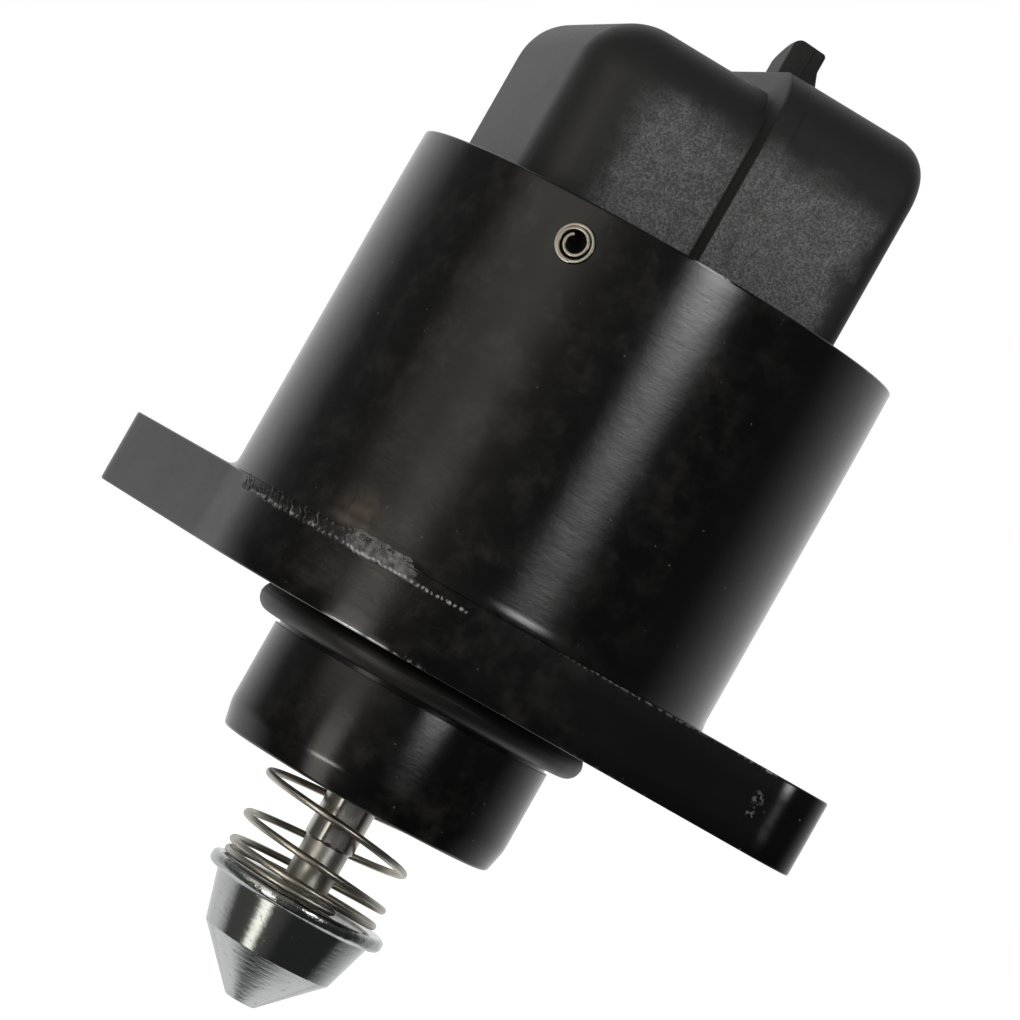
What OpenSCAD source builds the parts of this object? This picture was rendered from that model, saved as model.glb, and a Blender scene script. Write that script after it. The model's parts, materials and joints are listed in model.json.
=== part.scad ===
// Idle air control valve: a small linear stepper motor in a flanged casting.
// The origin is the centre of the flange's mounting face. +Z runs along the
// valve's axis towards the plug socket, and the socket's mouth faces +Y.

/* [Casting] */
// Outer diameter of the round motor housing
body_d = 34.3; // [33:0.1:38]
// Thickness of the housing's side wall
body_wall = 1.85; // [1.2:0.05:2.5]
// Height of the motor cavity's floor above the mounting face
floor_h = 3; // [2.6:0.1:4.5]
// How far the rim stands above the plug's top face
rim_proud = 0.2; // [0:0.1:1]
// Radius of the fillet where the housing meets the flange
foot_r = 0.8; // [0.3:0.1:1.5]
// Diameter of the nose that enters the throttle body
nose_d = 20; // [19:0.1:20.6]
// Length of the nose below the mounting face
nose_len = 9.6; // [8:0.1:12]
// Radius of the nose's lower edge
nose_edge_r = 1.4; // [0.4:0.1:1.6]
// Diameter of the spring's recess in the nose face
recess_d = 12.4; // [12:0.1:14]
// Depth of the spring's recess in the nose face
recess_h = 1.3; // [0.6:0.1:2]
// Depth of the relief round the nose that takes the seal
relief_h = 0.1; // [0.1:0.05:0.5]
// Space round the seal in that relief
relief_space = 0.4; // [0.2:0.1:1]
// Depth of the groove in the nose that the seal sits in
groove_depth = 0.25; // [0.2:0.05:0.5]

/* [Flange] */
// Thickness of the flange
flange_t = 5.1; // [3:0.1:6]
// Distance from the axis to the centre of each ear's rounded end
ear_reach = 25.9; // [25:0.1:30]
// Radius of each ear's rounded end
ear_r = 3.4; // [3:0.1:5]
// Distance between the two bolt holes
bolt_spacing = 45; // [44.6:0.1:46]
// Diameter of the bolt holes
bolt_hole_d = 5.5; // [4.5:0.1:5.8]
// Turn of the line of bolts from the X axis
bolt_turn = -45; // [-60:1:-30]

/* [Seals] */
// Section of the seal round the nose
nose_seal_t = 2; // [1.5:0.1:2.4]
// Section of the seal round the plug
cap_seal_t = 1.4; // [1:0.1:1.8]
// Height of the plug's seal above the plug's lower face
cap_seal_h = 2.8; // [2.6:0.1:3]

/* [Front bearing] */
// Outer diameter of the ball bearing
bearing_d = 15; // [14.6:0.1:16]
// Bore of the ball bearing
bearing_bore = 6; // [5.8:0.1:6.4]
// Width of the ball bearing
bearing_w = 5; // [4:0.1:5.2]
// How far the bearing lies below the cavity's floor
bearing_sink = 0.3; // [0:0.1:0.6]
// Diameter of the balls
ball_d = 2.6; // [2.2:0.1:2.8]
// Number of balls
ball_count = 7; // [5:1:8]
// Outer diameter of the guide bush
guide_d = 9; // [8:0.1:9.4]
// Width of the collar at the guide bush's upper end
guide_collar = 1; // [0.6:0.1:1.4]
// How far the guide bush stays inside the nose face
guide_inset = 0.6; // [0.2:0.1:1]

/* [Stator] */
// Height of each of the two stator stacks
stack_h = 9; // [8:0.1:10]
// Thickness of the pressed steel cups and plates
steel_t = 0.8; // [0.6:0.05:1]
// Number of claw poles on each cup and plate
pole_count = 6; // [4:1:8]
// Gap between the magnet and the claw poles
air_gap = 0.3; // [0.2:0.05:0.4]
// Wall of the moulded bobbins
bobbin_wall = 0.6; // [0.4:0.05:0.8]

/* [Rotor] */
// Share of the depth from the hub to the bobbins' rims, less the poles, the
// air gap and the bobbins' walls, that the magnet takes from the windings
magnet_share = 0.33; // [0.28:0.01:0.4]
// Inner diameter of the ring magnet
magnet_bore = 9; // [8.8:0.1:10]
// Space between the magnet and each end of the stacks
magnet_space = 1; // [0.5:0.1:1.5]
// Length of the brass nut
nut_len = 7; // [6:0.1:9]
// Height of the nut above the motor cavity's floor
nut_rise = 2; // [1:0.1:3]
// Width of the hexagonal nut across its corners
nut_w = 7.2; // [6.4:0.1:7.6]
// Diameter of the rotor's rear journal
rear_journal_d = 4; // [3:0.1:5]
// Length of the rear bush
rear_bush_len = 3; // [2:0.1:3.2]
// Outer diameter of the rear bush
rear_bush_d = 7.2; // [6.4:0.1:8]

/* [Pintle] */
// Diameter of the screw's threaded part
thread_d = 4; // [3.8:0.05:4.2]
// Diameter of the shaft's guided part
shaft_d = 3.5; // [3.3:0.05:3.6]
// Width across the guided part's two flats
flats_w = 3.1; // [2.8:0.05:3.2]
// Diameter of the shaft's thin end
shaft_end_d = 3.2; // [2.6:0.1:3.2]
// Distance from the nose face to the shaft's step
step_drop = 3.4; // [2:0.1:4]
// Distance from the nose face to the pintle's upper face
pintle_drop = 7; // [6.6:0.1:8]
// Diameter of the pintle's rim
pintle_rim_d = 12.5; // [12:0.1:13]
// Thickness of the pintle's rim
pintle_rim_t = 0.95; // [0.6:0.05:1.4]
// Diameter of the upper cone at the rim
cone_top_d = 11; // [10:0.1:11.6]
// Diameter where the steep cone meets the point
cone_mid_d = 9; // [8:0.1:9.6]
// Diameter of the flat tip
cone_tip_d = 2.1; // [1:0.1:3]
// Height of the upper cone
cone_top_h = 3.35; // [2.6:0.05:4]
// Height of the pointed cone
cone_tip_h = 3.55; // [2.6:0.05:5]
// Travel from the rest position out of the nose
travel_out = 3.6; // [2:0.1:3.6]
// Travel from the rest position into the nose
travel_in = 4.2; // [3:0.1:4.2]

/* [Spring] */
// Wire diameter of the spring
wire_d = 0.48; // [0.35:0.01:0.55]
// Outer diameter of the spring's upper end
spring_top_d = 11.3; // [10.8:0.1:11.6]
// Outer diameter of the spring's lower end
spring_foot_d = 11; // [10.6:0.1:11.4]
// Turns at full pitch between the two ramps
open_turns = 1.08; // [0.5:0.01:2]

/* [Connector] */
// Height of the plug that fills the housing's mouth
plug_h = 8.4; // [7.8:0.1:10]
// Left side of the socket, seen from behind
socket_left = 12.4; // [11.8:0.1:13]
// Right side of the socket, seen from behind
socket_right = 10.15; // [9.6:0.05:11]
// Place of the step between the low and the high part
step_x = -0.85; // [-2:0.05:-0.7]
// Radius of the high part's edge along that step
step_r = 0.5; // [0.2:0.1:1]
// Distance from the axis to the socket's mouth
mouth_y = 12; // [11:0.1:14]
// Distance from the axis to the low part's back face
low_back = 9.8; // [9.6:0.1:10.4]
// Distance from the axis to the high part's back face
high_back = 11; // [10.6:0.1:11.4]
// Height of the low part above the rim
low_rise = 12.3; // [11.6:0.1:13]
// Height of the high part above the rim
high_rise = 14; // [13:0.1:14.5]
// Radius of the fillets along the back's upper edge
back_r = 4; // [2:0.1:4.5]
// Radius of the low part's rear corner
corner_r = 4; // [2:0.1:4.5]
// Radius of the low part's upper edge
shoulder_r = 4; // [1:0.1:4.2]
// Wall of the moulded socket
socket_wall = 1.4; // [1:0.1:1.6]
// Depth of the socket
socket_depth = 8.5; // [7:0.1:9]
// Height of the socket's floor above the rim
socket_lift = 1.6; // [1.2:0.1:2]
// Width of the latch hook
hook_w = 2.25; // [1.6:0.05:3]
// Height of the latch hook
hook_h = 2.6; // [2:0.1:3.5]
// Length of the latch hook
hook_len = 3.4; // [2.5:0.1:5]
// Distance from the axis to the hook's back face
hook_back = 4.5; // [3.5:0.1:6]
// Place of the hook's middle across the socket
hook_x = 0.75; // [0.3:0.05:2]

/* [Terminals and pins] */
// Distance between neighbouring terminals
terminal_pitch = 3.8; // [3.2:0.1:4]
// Width of each terminal blade
terminal_w = 1.5; // [1:0.1:1.8]
// Thickness of each terminal blade
terminal_t = 0.64; // [0.5:0.02:0.7]
// How far the blades stop short of the socket's mouth
terminal_short = 2; // [1:0.1:3]
// Diameter of the coiled pins
pin_d = 2.5; // [2:0.1:2.8]
// Length of the coiled pins
pin_len = 4.6; // [4:0.1:5]
// Height of the coiled pins above the plug's lower face
pin_rise = 5.9; // [5.6:0.1:6.2]
// Thickness of the strip that the pins are coiled from
pin_strip = 0.28; // [0.2:0.01:0.32]
// Number of turns in a coiled pin
pin_turns = 2.2; // [1.5:0.1:2.4]
// Direction of the pin that shows beside the socket's back
pin_angle = -120; // [-130:1:-110]

/* [Hidden] */
$fn = 96;
eps = 0.02;
press = 0.01;
slide_fit = 0.05;
turn_fit = 0.03;
race_fit = 0.06;

body_r = body_d / 2;
bore_r = body_r - body_wall;
nose_r = nose_d / 2;
nose_z = -nose_len;
recess_z = nose_z + recess_h;
groove_r = nose_r - groove_depth;
groove_space = 0.3;
seal_r = groove_r + nose_seal_t / 2;
relief_r = groove_r + nose_seal_t + relief_space;

bearing_r = bearing_d / 2;
bearing_z = floor_h - bearing_sink - bearing_w;
race_r = bearing_bore / 2;
pitch_r = (bearing_r + race_r) / 2;
ball_r = ball_d / 2;
race_gap = ball_r * 0.85;
cage_t = ball_r * 0.5;
cage_w = ball_d * 1.25;
guide_r = guide_d / 2;
guide_z = nose_z + guide_inset;
guide_top = bearing_z - 0.3;
collar_t = 0.7;
collar_r = guide_r + guide_collar;

cup_r = bore_r - slide_fit;
tube_space = 0.15;
spool_r = cup_r - steel_t - 0.25;
pole_depth = air_gap + steel_t + tube_space + bobbin_wall;
magnet_t = magnet_share * (spool_r - magnet_bore / 2 - pole_depth);
magnet_r = magnet_bore / 2 + magnet_t;
claw_in = magnet_r + air_gap;
claw_out = claw_in + steel_t;
tube_in = claw_out + tube_space;
tube_out = tube_in + bobbin_wall;
stack_step = stack_h + 0.2;
stack_top = floor_h + stack_step + stack_h;
claw_tip_space = 0.6;
pole_turn = 360 / pole_count;

magnet_z = floor_h + magnet_space;
magnet_top = stack_top - magnet_space;
hub_r = magnet_bore / 2 - press;
shoulder_w = 1;
nut_z = floor_h + nut_rise;
nut_bore_r = thread_d / 2 + slide_fit;
hub_bore_r = nut_bore_r + 0.25;
rotor_space = 1;
hub_top = stack_top + rotor_space - 0.2;
rear_bush_z = stack_top + rotor_space;
rear_r = rear_journal_d / 2;
rotor_room_r = claw_in;

thread_r = thread_d / 2;
shaft_r = shaft_d / 2;
thread_z = guide_top + travel_out + 0.6;
thread_top = hub_top - 0.8 - travel_in - 0.6;
hub_blind = thread_top + travel_in + 0.8;
shaft_step_z = nose_z - step_drop;
pintle_z = nose_z - pintle_drop;
shaft_foot = pintle_z - pintle_rim_t - cone_top_h;
flats_top = guide_top + travel_out + 0.2;

plug_z = stack_top;
plug_r = bore_r - slide_fit;
plug_top = plug_z + plug_h;
rim_z = plug_top + rim_proud;
cap_seal_z = plug_z + cap_seal_h;
pin_z = plug_z + pin_rise;
pin_r = pin_d / 2;
pin_out = body_r + 0.05;
socket_z = rim_z + 0.3;
low_top = rim_z + low_rise;
high_top = rim_z + high_rise;
socket_mid = (socket_right - socket_left) / 2;
socket_floor = rim_z + socket_lift;
socket_end = mouth_y - socket_depth;
blade_z = (socket_floor + low_top - socket_wall) / 2;
blade_tip = mouth_y - terminal_short;
leg_y = -(claw_out + 0.1 + 0.16 + terminal_t / 2);
window_x = 2 * terminal_pitch - terminal_pitch / 2 + terminal_w;
window_y = terminal_t / 2 + 0.16;

// A ring or disc between two radii and two heights
module ring(r_out, r_in, z0, z1) {
    translate([0, 0, z0])
        difference() {
            cylinder(r = r_out, h = z1 - z0);
            if (r_in > 0)
                translate([0, 0, -1]) cylinder(r = r_in, h = z1 - z0 + 2);
        }
}

// A round ring of round section
module o_ring(r_mid, t, z) {
    translate([0, 0, z])
        rotate_extrude() translate([r_mid, 0]) circle(d = t, $fn = 48);
}

// What a corner loses when it is rounded, for a corner at the origin that
// points along the signs sx and sy
module corner_cut(r, sx, sy) {
    if (r > 0)
        scale([sx, sy])
            difference() {
                translate([-r, -r]) square(r + 1);
                translate([-r, -r]) circle(r);
            }
}

// A rectangle whose four corners each have their own radius
// Radii in the order low left, low right, high right, high left
module soft_rect(x0, y0, x1, y1, radii) {
    difference() {
        translate([x0, y0]) square([x1 - x0, y1 - y0]);
        translate([x0, y0]) corner_cut(radii[0], -1, -1);
        translate([x1, y0]) corner_cut(radii[1], 1, -1);
        translate([x1, y1]) corner_cut(radii[2], 1, 1);
        translate([x0, y1]) corner_cut(radii[3], -1, 1);
    }
}

// Places a child at each of the two bolt holes
module at_bolts() {
    for (side = [-1, 1])
        rotate([0, 0, bolt_turn]) translate([side * bolt_spacing / 2, 0, 0]) children();
}

// Flange outline: the housing's circle and two rounded ears, with straight
// flanks that touch the circles
module flange_outline() {
    lean = acos((body_r - ear_r) / ear_reach);
    rotate(bolt_turn) {
        circle(body_r);
        for (side = [-1, 1]) {
            translate([side * ear_reach, 0]) circle(ear_r);
            polygon([
                for (flank = [-1, 1])
                    [side * body_r * cos(lean), flank * body_r * sin(lean)],
                for (flank = [1, -1])
                    [side * (ear_reach + ear_r * cos(lean)), flank * ear_r * sin(lean)]
            ]);
        }
    }
}

// Fillet between the housing's side and the ears, cut off at the outline
module foot_fillet() {
    intersection() {
        translate([0, 0, flange_t - eps])
            rotate_extrude()
                difference() {
                    translate([body_r - 1, 0]) square([1 + foot_r, foot_r + eps]);
                    translate([body_r + foot_r, foot_r + eps]) circle(foot_r);
                }
        translate([0, 0, flange_t - 1]) linear_extrude(foot_r + 2) flange_outline();
    }
}

// Solid of revolution of the nose, with its rounded lower edge
module nose_solid() {
    rotate_extrude()
        difference() {
            translate([0, nose_z]) square([nose_r, nose_len + eps]);
            translate([nose_r, nose_z]) corner_cut(nose_edge_r, 1, -1);
        }
}

// Everything that is bored out of the casting along its axis
module housing_bores() {
    ring(bore_r, 0, floor_h, rim_z + 1);
    ring(bearing_r, 0, bearing_z, floor_h + 1);
    ring(collar_r, 0, guide_top - collar_t, bearing_z + 1);
    ring(guide_r, 0, nose_z - 1, guide_top);
    ring(recess_d / 2, 0, nose_z - 1, recess_z);
    ring(relief_r, groove_r, -nose_seal_t - groove_space + relief_h, relief_h);
}

module housing() {
    color([0.06, 0.06, 0.065])
        difference() {
            union() {
                cylinder(r = body_r, h = rim_z);
                linear_extrude(flange_t) flange_outline();
                foot_fillet();
                nose_solid();
            }
            housing_bores();
            at_bolts() translate([0, 0, -1]) cylinder(d = bolt_hole_d, h = flange_t + 2);
            at_pins() pin_bore();
        }
}

// Places a child at each coiled pin, with its own +Z pointing outwards
module at_pins() {
    for (turn = [pin_angle, pin_angle + 180])
        at_pin(turn) children();
}

module at_pin(turn) {
    translate([0, 0, pin_z])
        rotate([0, 0, turn]) rotate([0, 90, 0]) children();
}

module pin_bore() {
    translate([0, 0, pin_out - pin_len]) cylinder(r = pin_r, h = pin_len + 1);
}

module nose_seal() {
    color([0.03, 0.03, 0.03]) o_ring(seal_r, nose_seal_t, relief_h - nose_seal_t / 2);
}

// Section of the shaft's guided part: a circle with two flats
module flatted_circle(r, w) {
    intersection() {
        circle(r);
        square([2 * r + 1, w], center = true);
    }
}

module guide_bush() {
    color([0.72, 0.58, 0.36])
        difference() {
            union() {
                ring(guide_r - press, 0, guide_z, guide_top);
                ring(collar_r - press, 0, guide_top - collar_t, guide_top);
            }
            translate([0, 0, guide_z - 1])
                linear_extrude(guide_top - guide_z + 2)
                    flatted_circle(shaft_r + slide_fit, flats_w + 2 * slide_fit);
        }
}

// The groove that the balls run in
module ball_track() {
    translate([0, 0, bearing_z + bearing_w / 2])
        rotate_extrude() translate([pitch_r, 0]) circle(ball_r + race_fit, $fn = 48);
}

module bearing_outer_race() {
    color([0.75, 0.75, 0.77])
        difference() {
            ring(bearing_r - press, pitch_r + race_gap, bearing_z, bearing_z + bearing_w);
            ball_track();
        }
}

module bearing_inner_race() {
    color([0.75, 0.75, 0.77])
        difference() {
            ring(pitch_r - race_gap, race_r, bearing_z, bearing_z + bearing_w);
            ball_track();
        }
}

// Places a child at each ball's centre
module at_balls() {
    for (i = [0 : ball_count - 1])
        rotate([0, 0, i * 360 / ball_count])
            translate([pitch_r, 0, bearing_z + bearing_w / 2]) children();
}

module bearing_balls() {
    color([0.85, 0.85, 0.87]) at_balls() sphere(ball_r, $fn = 48);
}

module bearing_cage() {
    middle = bearing_z + bearing_w / 2;
    color([0.62, 0.48, 0.25])
        difference() {
            ring(pitch_r + cage_t / 2, pitch_r - cage_t / 2,
                middle - cage_w / 2, middle + cage_w / 2);
            at_balls() sphere(ball_r + race_fit, $fn = 48);
        }
}

// Tapered claws that stand up from z = 0, cut from a thin tube
module claws(reach) {
    root = claw_out * tan(pole_turn * 0.2);
    tip = root * 0.5;
    intersection() {
        ring(claw_out, claw_in, 0, reach);
        for (i = [0 : pole_count - 1])
            rotate([0, 0, i * pole_turn])
                translate([0, -claw_in + 1, 0])
                    rotate([90, 0, 0])
                        linear_extrude(steel_t + 2)
                            polygon([[-root, -1], [root, -1], [tip, reach + 1], [-tip, reach + 1]]);
    }
}

// Cup: outer wall, floor and its claws, with the floor at z = 0
module stator_cup() {
    ring(cup_r, cup_r - steel_t, 0, stack_h - steel_t);
    ring(cup_r, claw_out - eps, 0, steel_t);
    claws(stack_h - steel_t - claw_tip_space);
}

// Plate: the cup's lid with claws that hang between the cup's own
module stator_plate() {
    translate([0, 0, stack_h]) mirror([0, 0, 1]) {
        ring(cup_r, claw_out - eps, 0, steel_t);
        rotate([0, 0, pole_turn / 2]) claws(stack_h - steel_t - claw_tip_space);
    }
}

module bobbin() {
    low = steel_t;
    high = stack_h - steel_t;
    ring(tube_out, tube_in, low, high);
    ring(spool_r, tube_in, low, low + bobbin_wall);
    ring(spool_r, tube_in, high - bobbin_wall, high);
}

module coil() {
    ring(spool_r - 0.3, tube_out, steel_t + bobbin_wall, stack_h - steel_t - bobbin_wall);
}

// The block under the terminals' legs, with a margin where it is a window
module terminal_block(margin) {
    translate([socket_mid - window_x - margin, leg_y - window_y - margin, stack_h - steel_t - eps])
        cube([2 * (window_x + margin), 2 * (window_y + margin), steel_t + eps + margin]);
}

// Puts a child on the lower stack, or on the upper one a quarter pole on
module lower_stack() {
    translate([0, 0, floor_h]) children();
}

module upper_stack() {
    translate([0, 0, floor_h + stack_step]) children();
}

module lower_stator_cup() {
    color([0.5, 0.51, 0.53]) lower_stack() stator_cup();
}

module lower_stator_plate() {
    color([0.56, 0.57, 0.59]) lower_stack() stator_plate();
}

module lower_bobbin() {
    color([0.85, 0.83, 0.76]) lower_stack() bobbin();
}

module lower_coil() {
    color([0.7, 0.36, 0.16]) lower_stack() coil();
}

module upper_stator_cup() {
    color([0.5, 0.51, 0.53]) upper_stack() rotate([0, 0, pole_turn / 4]) stator_cup();
}

module upper_stator_plate() {
    color([0.56, 0.57, 0.59])
        upper_stack()
            difference() {
                rotate([0, 0, pole_turn / 4]) stator_plate();
                terminal_block(0.1);
            }
}

module upper_bobbin() {
    color([0.85, 0.83, 0.76])
        upper_stack() {
            bobbin();
            terminal_block(0);
        }
}

module upper_coil() {
    color([0.7, 0.36, 0.16]) upper_stack() coil();
}

module rotor_magnet() {
    color([0.2, 0.2, 0.21]) ring(magnet_r, magnet_bore / 2, magnet_z, magnet_top);
}

module nut_solid() {
    translate([0, 0, nut_z]) cylinder(d = nut_w, h = nut_len, $fn = 6);
}

module rotor_hub() {
    bearing_top = bearing_z + bearing_w;
    color([0.9, 0.88, 0.82])
        difference() {
            union() {
                ring(race_r - press, 0, bearing_z, bearing_top + eps);
                ring(race_r + shoulder_w, 0, bearing_top, magnet_z + eps);
                ring(hub_r, 0, magnet_z, hub_top);
                ring(rear_r, 0, hub_top - eps, rear_bush_z + rear_bush_len - 0.3);
            }
            nut_solid();
            ring(hub_bore_r, 0, bearing_z - 1, hub_blind);
        }
}

module rotor_nut() {
    color([0.8, 0.65, 0.3])
        difference() {
            nut_solid();
            ring(nut_bore_r, 0, nut_z - 1, nut_z + nut_len + 1);
        }
}

module rear_bush() {
    color([0.7, 0.5, 0.28])
        ring(rear_bush_d / 2 - press, rear_r + turn_fit, rear_bush_z, rear_bush_z + rear_bush_len);
}

module lead_screw() {
    color([0.72, 0.7, 0.66]) {
        ring(thread_r, 0, thread_z, thread_top);
        ring(shaft_r, 0, flats_top, thread_z + eps);
        translate([0, 0, shaft_step_z])
            linear_extrude(flats_top - shaft_step_z + eps) flatted_circle(shaft_r, flats_w);
        ring(min(shaft_end_d, flats_w) / 2, 0, shaft_foot, shaft_step_z + eps);
    }
}

module pintle() {
    rim_bottom = pintle_z - pintle_rim_t;
    shoulder = rim_bottom - cone_top_h;
    color([0.8, 0.81, 0.83])
        difference() {
            rotate_extrude()
                polygon([
                    [0, pintle_z], [pintle_rim_d / 2 - 0.15, pintle_z],
                    [pintle_rim_d / 2, pintle_z - 0.15], [pintle_rim_d / 2, rim_bottom + 0.15],
                    [pintle_rim_d / 2 - 0.15, rim_bottom], [cone_top_d / 2, rim_bottom],
                    [cone_mid_d / 2, shoulder], [cone_tip_d / 2, shoulder - cone_tip_h],
                    [0, shoulder - cone_tip_h]
                ]);
            ring(min(shaft_end_d, flats_w) / 2 + press, 0, shaft_foot - press, pintle_z + 1);
        }
}

// Height of the wire above the spring's foot after t turns. The pitch rises
// evenly over one turn after the closed end turn, and falls evenly before
// the other one.
ramp_full = 2;
ramp_down = 2 + open_turns;
closed_pitch = wire_d * 1.04;
spring_turns = 4 + open_turns;
spring_low = pintle_z + wire_d / 2 + eps;
spring_high = recess_z - wire_d / 2 - eps;
open_extra = (spring_high - spring_low - closed_pitch * spring_turns) / (1 + open_turns);
function ramp(t) = t < 1 ? 0
    : t < ramp_full ? pow(t - 1, 2) / 2
    : t < ramp_down ? t - 1.5
    : t < ramp_down + 1 ? t - 1.5 - pow(t - ramp_down, 2) / 2
    : ramp_down - 1;
function wire_height(t) = spring_low + closed_pitch * t + open_extra * ramp(t);
// Radius of the wire's middle line after t turns
function wire_radius(t) =
    (spring_foot_d + (spring_top_d - spring_foot_d) * t / spring_turns - wire_d) / 2;
// Direction of the wire's lower end: the coil winds to the left going up
spring_start = 203;
spring_sides = 8;
spring_rings = floor(spring_turns * 28);
function wire_point(i, j) =
    let (t = spring_turns * i / spring_rings,
        turn = spring_start - 360 * t,
        around = 360 * j / spring_sides,
        r = wire_radius(t) + wire_d / 2 * cos(around))
    [r * cos(turn), r * sin(turn), wire_height(t) + wire_d / 2 * sin(around)];
function wire_face(i, j) =
    let (a = i * spring_sides + j,
        b = i * spring_sides + (j + 1) % spring_sides)
    [a, a + spring_sides, b + spring_sides, b];

module return_spring() {
    color([0.55, 0.52, 0.46])
        polyhedron(
            points = [for (i = [0 : spring_rings], j = [0 : spring_sides - 1]) wire_point(i, j)],
            faces = [
                [for (j = [0 : spring_sides - 1]) j],
                for (i = [0 : spring_rings - 1], j = [0 : spring_sides - 1]) wire_face(i, j),
                [for (j = [spring_sides - 1 : -1 : 0]) spring_rings * spring_sides + j]
            ]);
}

// One part of the moulded socket: where its plan, its back view and its side
// view meet, each with its own rounded corners
module socket_part(x0, x1, back, top, plan_left, plan_right, top_left, top_right) {
    intersection() {
        translate([0, 0, plug_top - 1])
            linear_extrude(top - plug_top + 1)
                soft_rect(x0, -back, x1, mouth_y, [plan_left, plan_right, 0, 0]);
        translate([0, mouth_y, 0])
            rotate([90, 0, 0])
                linear_extrude(mouth_y + back)
                    soft_rect(x0, plug_top - 1, x1, top, [0, 0, top_right, top_left]);
        translate([x0, 0, 0])
            rotate([90, 0, 90])
                linear_extrude(x1 - x0)
                    soft_rect(-back, plug_top - 1, mouth_y, top, [0, 0, 0, back_r]);
    }
}

module socket_solid() {
    difference() {
        union() {
            socket_part(-socket_left, step_x + 3, low_back, low_top, corner_r, 0, shoulder_r, 0);
            socket_part(step_x, socket_right, high_back, high_top, step_r, 1.4, step_r, 2.4);
        }
        // What overhangs the housing starts above its rim
        ring(socket_left + mouth_y, plug_r, plug_top - 2, socket_z);
    }
}

// The latch hook: steep towards the back, sloping towards the mouth
module hook() {
    translate([hook_x - hook_w / 2, -hook_back, high_top - 0.5])
        rotate([90, 0, 90])
            linear_extrude(hook_w)
                soft_rect(0, 0, hook_len, hook_h + 0.5, [0, 0, hook_h * 0.6, 0.3]);
}

// The hollow that takes the cable's plug, higher under the high part
module socket_hollow() {
    translate([0, mouth_y + 1, 0])
        rotate([90, 0, 0])
            linear_extrude(socket_depth + 1) {
                soft_rect(-socket_left + socket_wall, socket_floor, socket_right - socket_wall,
                    low_top - socket_wall, [1, 1, 1, shoulder_r - socket_wall]);
                soft_rect(step_x + socket_wall, socket_floor, socket_right - socket_wall,
                    high_top - socket_wall, [1, 1, 1.4, 0.6]);
            }
}

module connector_cap() {
    color([0.09, 0.09, 0.095])
        difference() {
            union() {
                ring(plug_r, 0, plug_z, plug_top);
                socket_solid();
                hook();
            }
            socket_hollow();
            ring(rotor_room_r, 0, plug_z - 1, rear_bush_z);
            ring(rear_bush_d / 2, 0, plug_z - 1, rear_bush_z + rear_bush_len);
            ring(plug_r + 1, plug_r + slide_fit - cap_seal_t,
                cap_seal_z - cap_seal_t / 2 - 0.1, cap_seal_z + cap_seal_t / 2 + 0.1);
            at_pins() pin_bore();
            for (i = [0 : 3]) terminal(i);
        }
}

module cap_seal() {
    color([0.03, 0.03, 0.03]) o_ring(bore_r - cap_seal_t / 2, cap_seal_t, cap_seal_z);
}

// One bent terminal: a leg down to the bobbin and a blade into the socket
module terminal(i) {
    x = socket_mid + (i - 1.5) * terminal_pitch - terminal_w / 2;
    low = blade_z - terminal_t / 2;
    translate([x, leg_y - terminal_t / 2, low])
        cube([terminal_w, blade_tip - leg_y + terminal_t / 2, terminal_t]);
    translate([x, leg_y - terminal_t / 2, plug_z])
        cube([terminal_w, terminal_t, low - plug_z + eps]);
}

module terminal_1() { color([0.78, 0.74, 0.6]) terminal(0); }
module terminal_2() { color([0.78, 0.74, 0.6]) terminal(1); }
module terminal_3() { color([0.78, 0.74, 0.6]) terminal(2); }
module terminal_4() { color([0.78, 0.74, 0.6]) terminal(3); }

// Radius of the strip's inner face after t turns from the pin's middle
pin_gap = 0.03;
pin_step = pin_strip + pin_gap;
function strip_r(t) = pin_r - pin_strip - pin_step * (pin_turns - t);
pin_steps = floor(pin_turns * 24);

// A strip coiled into a pin, standing on z = 0
module coiled_pin() {
    translate([0, 0, pin_out - pin_len])
        linear_extrude(pin_len)
            polygon([
                for (i = [0 : pin_steps])
                    let (t = pin_turns * i / pin_steps, turn = 360 * (t - pin_turns))
                    (strip_r(min(t, pin_turns - 1)) + pin_strip
                        + pin_step * max(0, t - pin_turns + 1)) * [cos(turn), sin(turn)],
                for (i = [pin_steps : -1 : 0])
                    let (t = pin_turns * i / pin_steps, turn = 360 * (t - pin_turns))
                    strip_r(t) * [cos(turn), sin(turn)]
            ]);
}

module roll_pin_front() {
    color([0.6, 0.58, 0.52]) at_pin(pin_angle) coiled_pin();
}

module roll_pin_rear() {
    color([0.6, 0.58, 0.52]) at_pin(pin_angle + 180) coiled_pin();
}

housing();
nose_seal();
guide_bush();
bearing_outer_race();
bearing_inner_race();
bearing_balls();
bearing_cage();
lower_stator_cup();
lower_stator_plate();
lower_bobbin();
lower_coil();
upper_stator_cup();
upper_stator_plate();
upper_bobbin();
upper_coil();
rotor_magnet();
rotor_hub();
rotor_nut();
rear_bush();
lead_screw();
pintle();
return_spring();
connector_cap();
cap_seal();
terminal_1();
terminal_2();
terminal_3();
terminal_4();
roll_pin_front();
roll_pin_rear();
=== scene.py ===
"""Looks of an idle air control valve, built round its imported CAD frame.

Lengths in this file are millimetres in the row frame and become metres where
points enter a mesh. The valve's axis is Z, the flange's mounting face is z = 0
and the plug socket's mouth faces +Y.
"""

from __future__ import annotations

import json
import logging
import math
from collections.abc import Mapping, Sequence
from dataclasses import dataclass
from enum import Enum

import bmesh
import bpy
import numpy as np
from mathutils import Matrix, Vector

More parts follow.
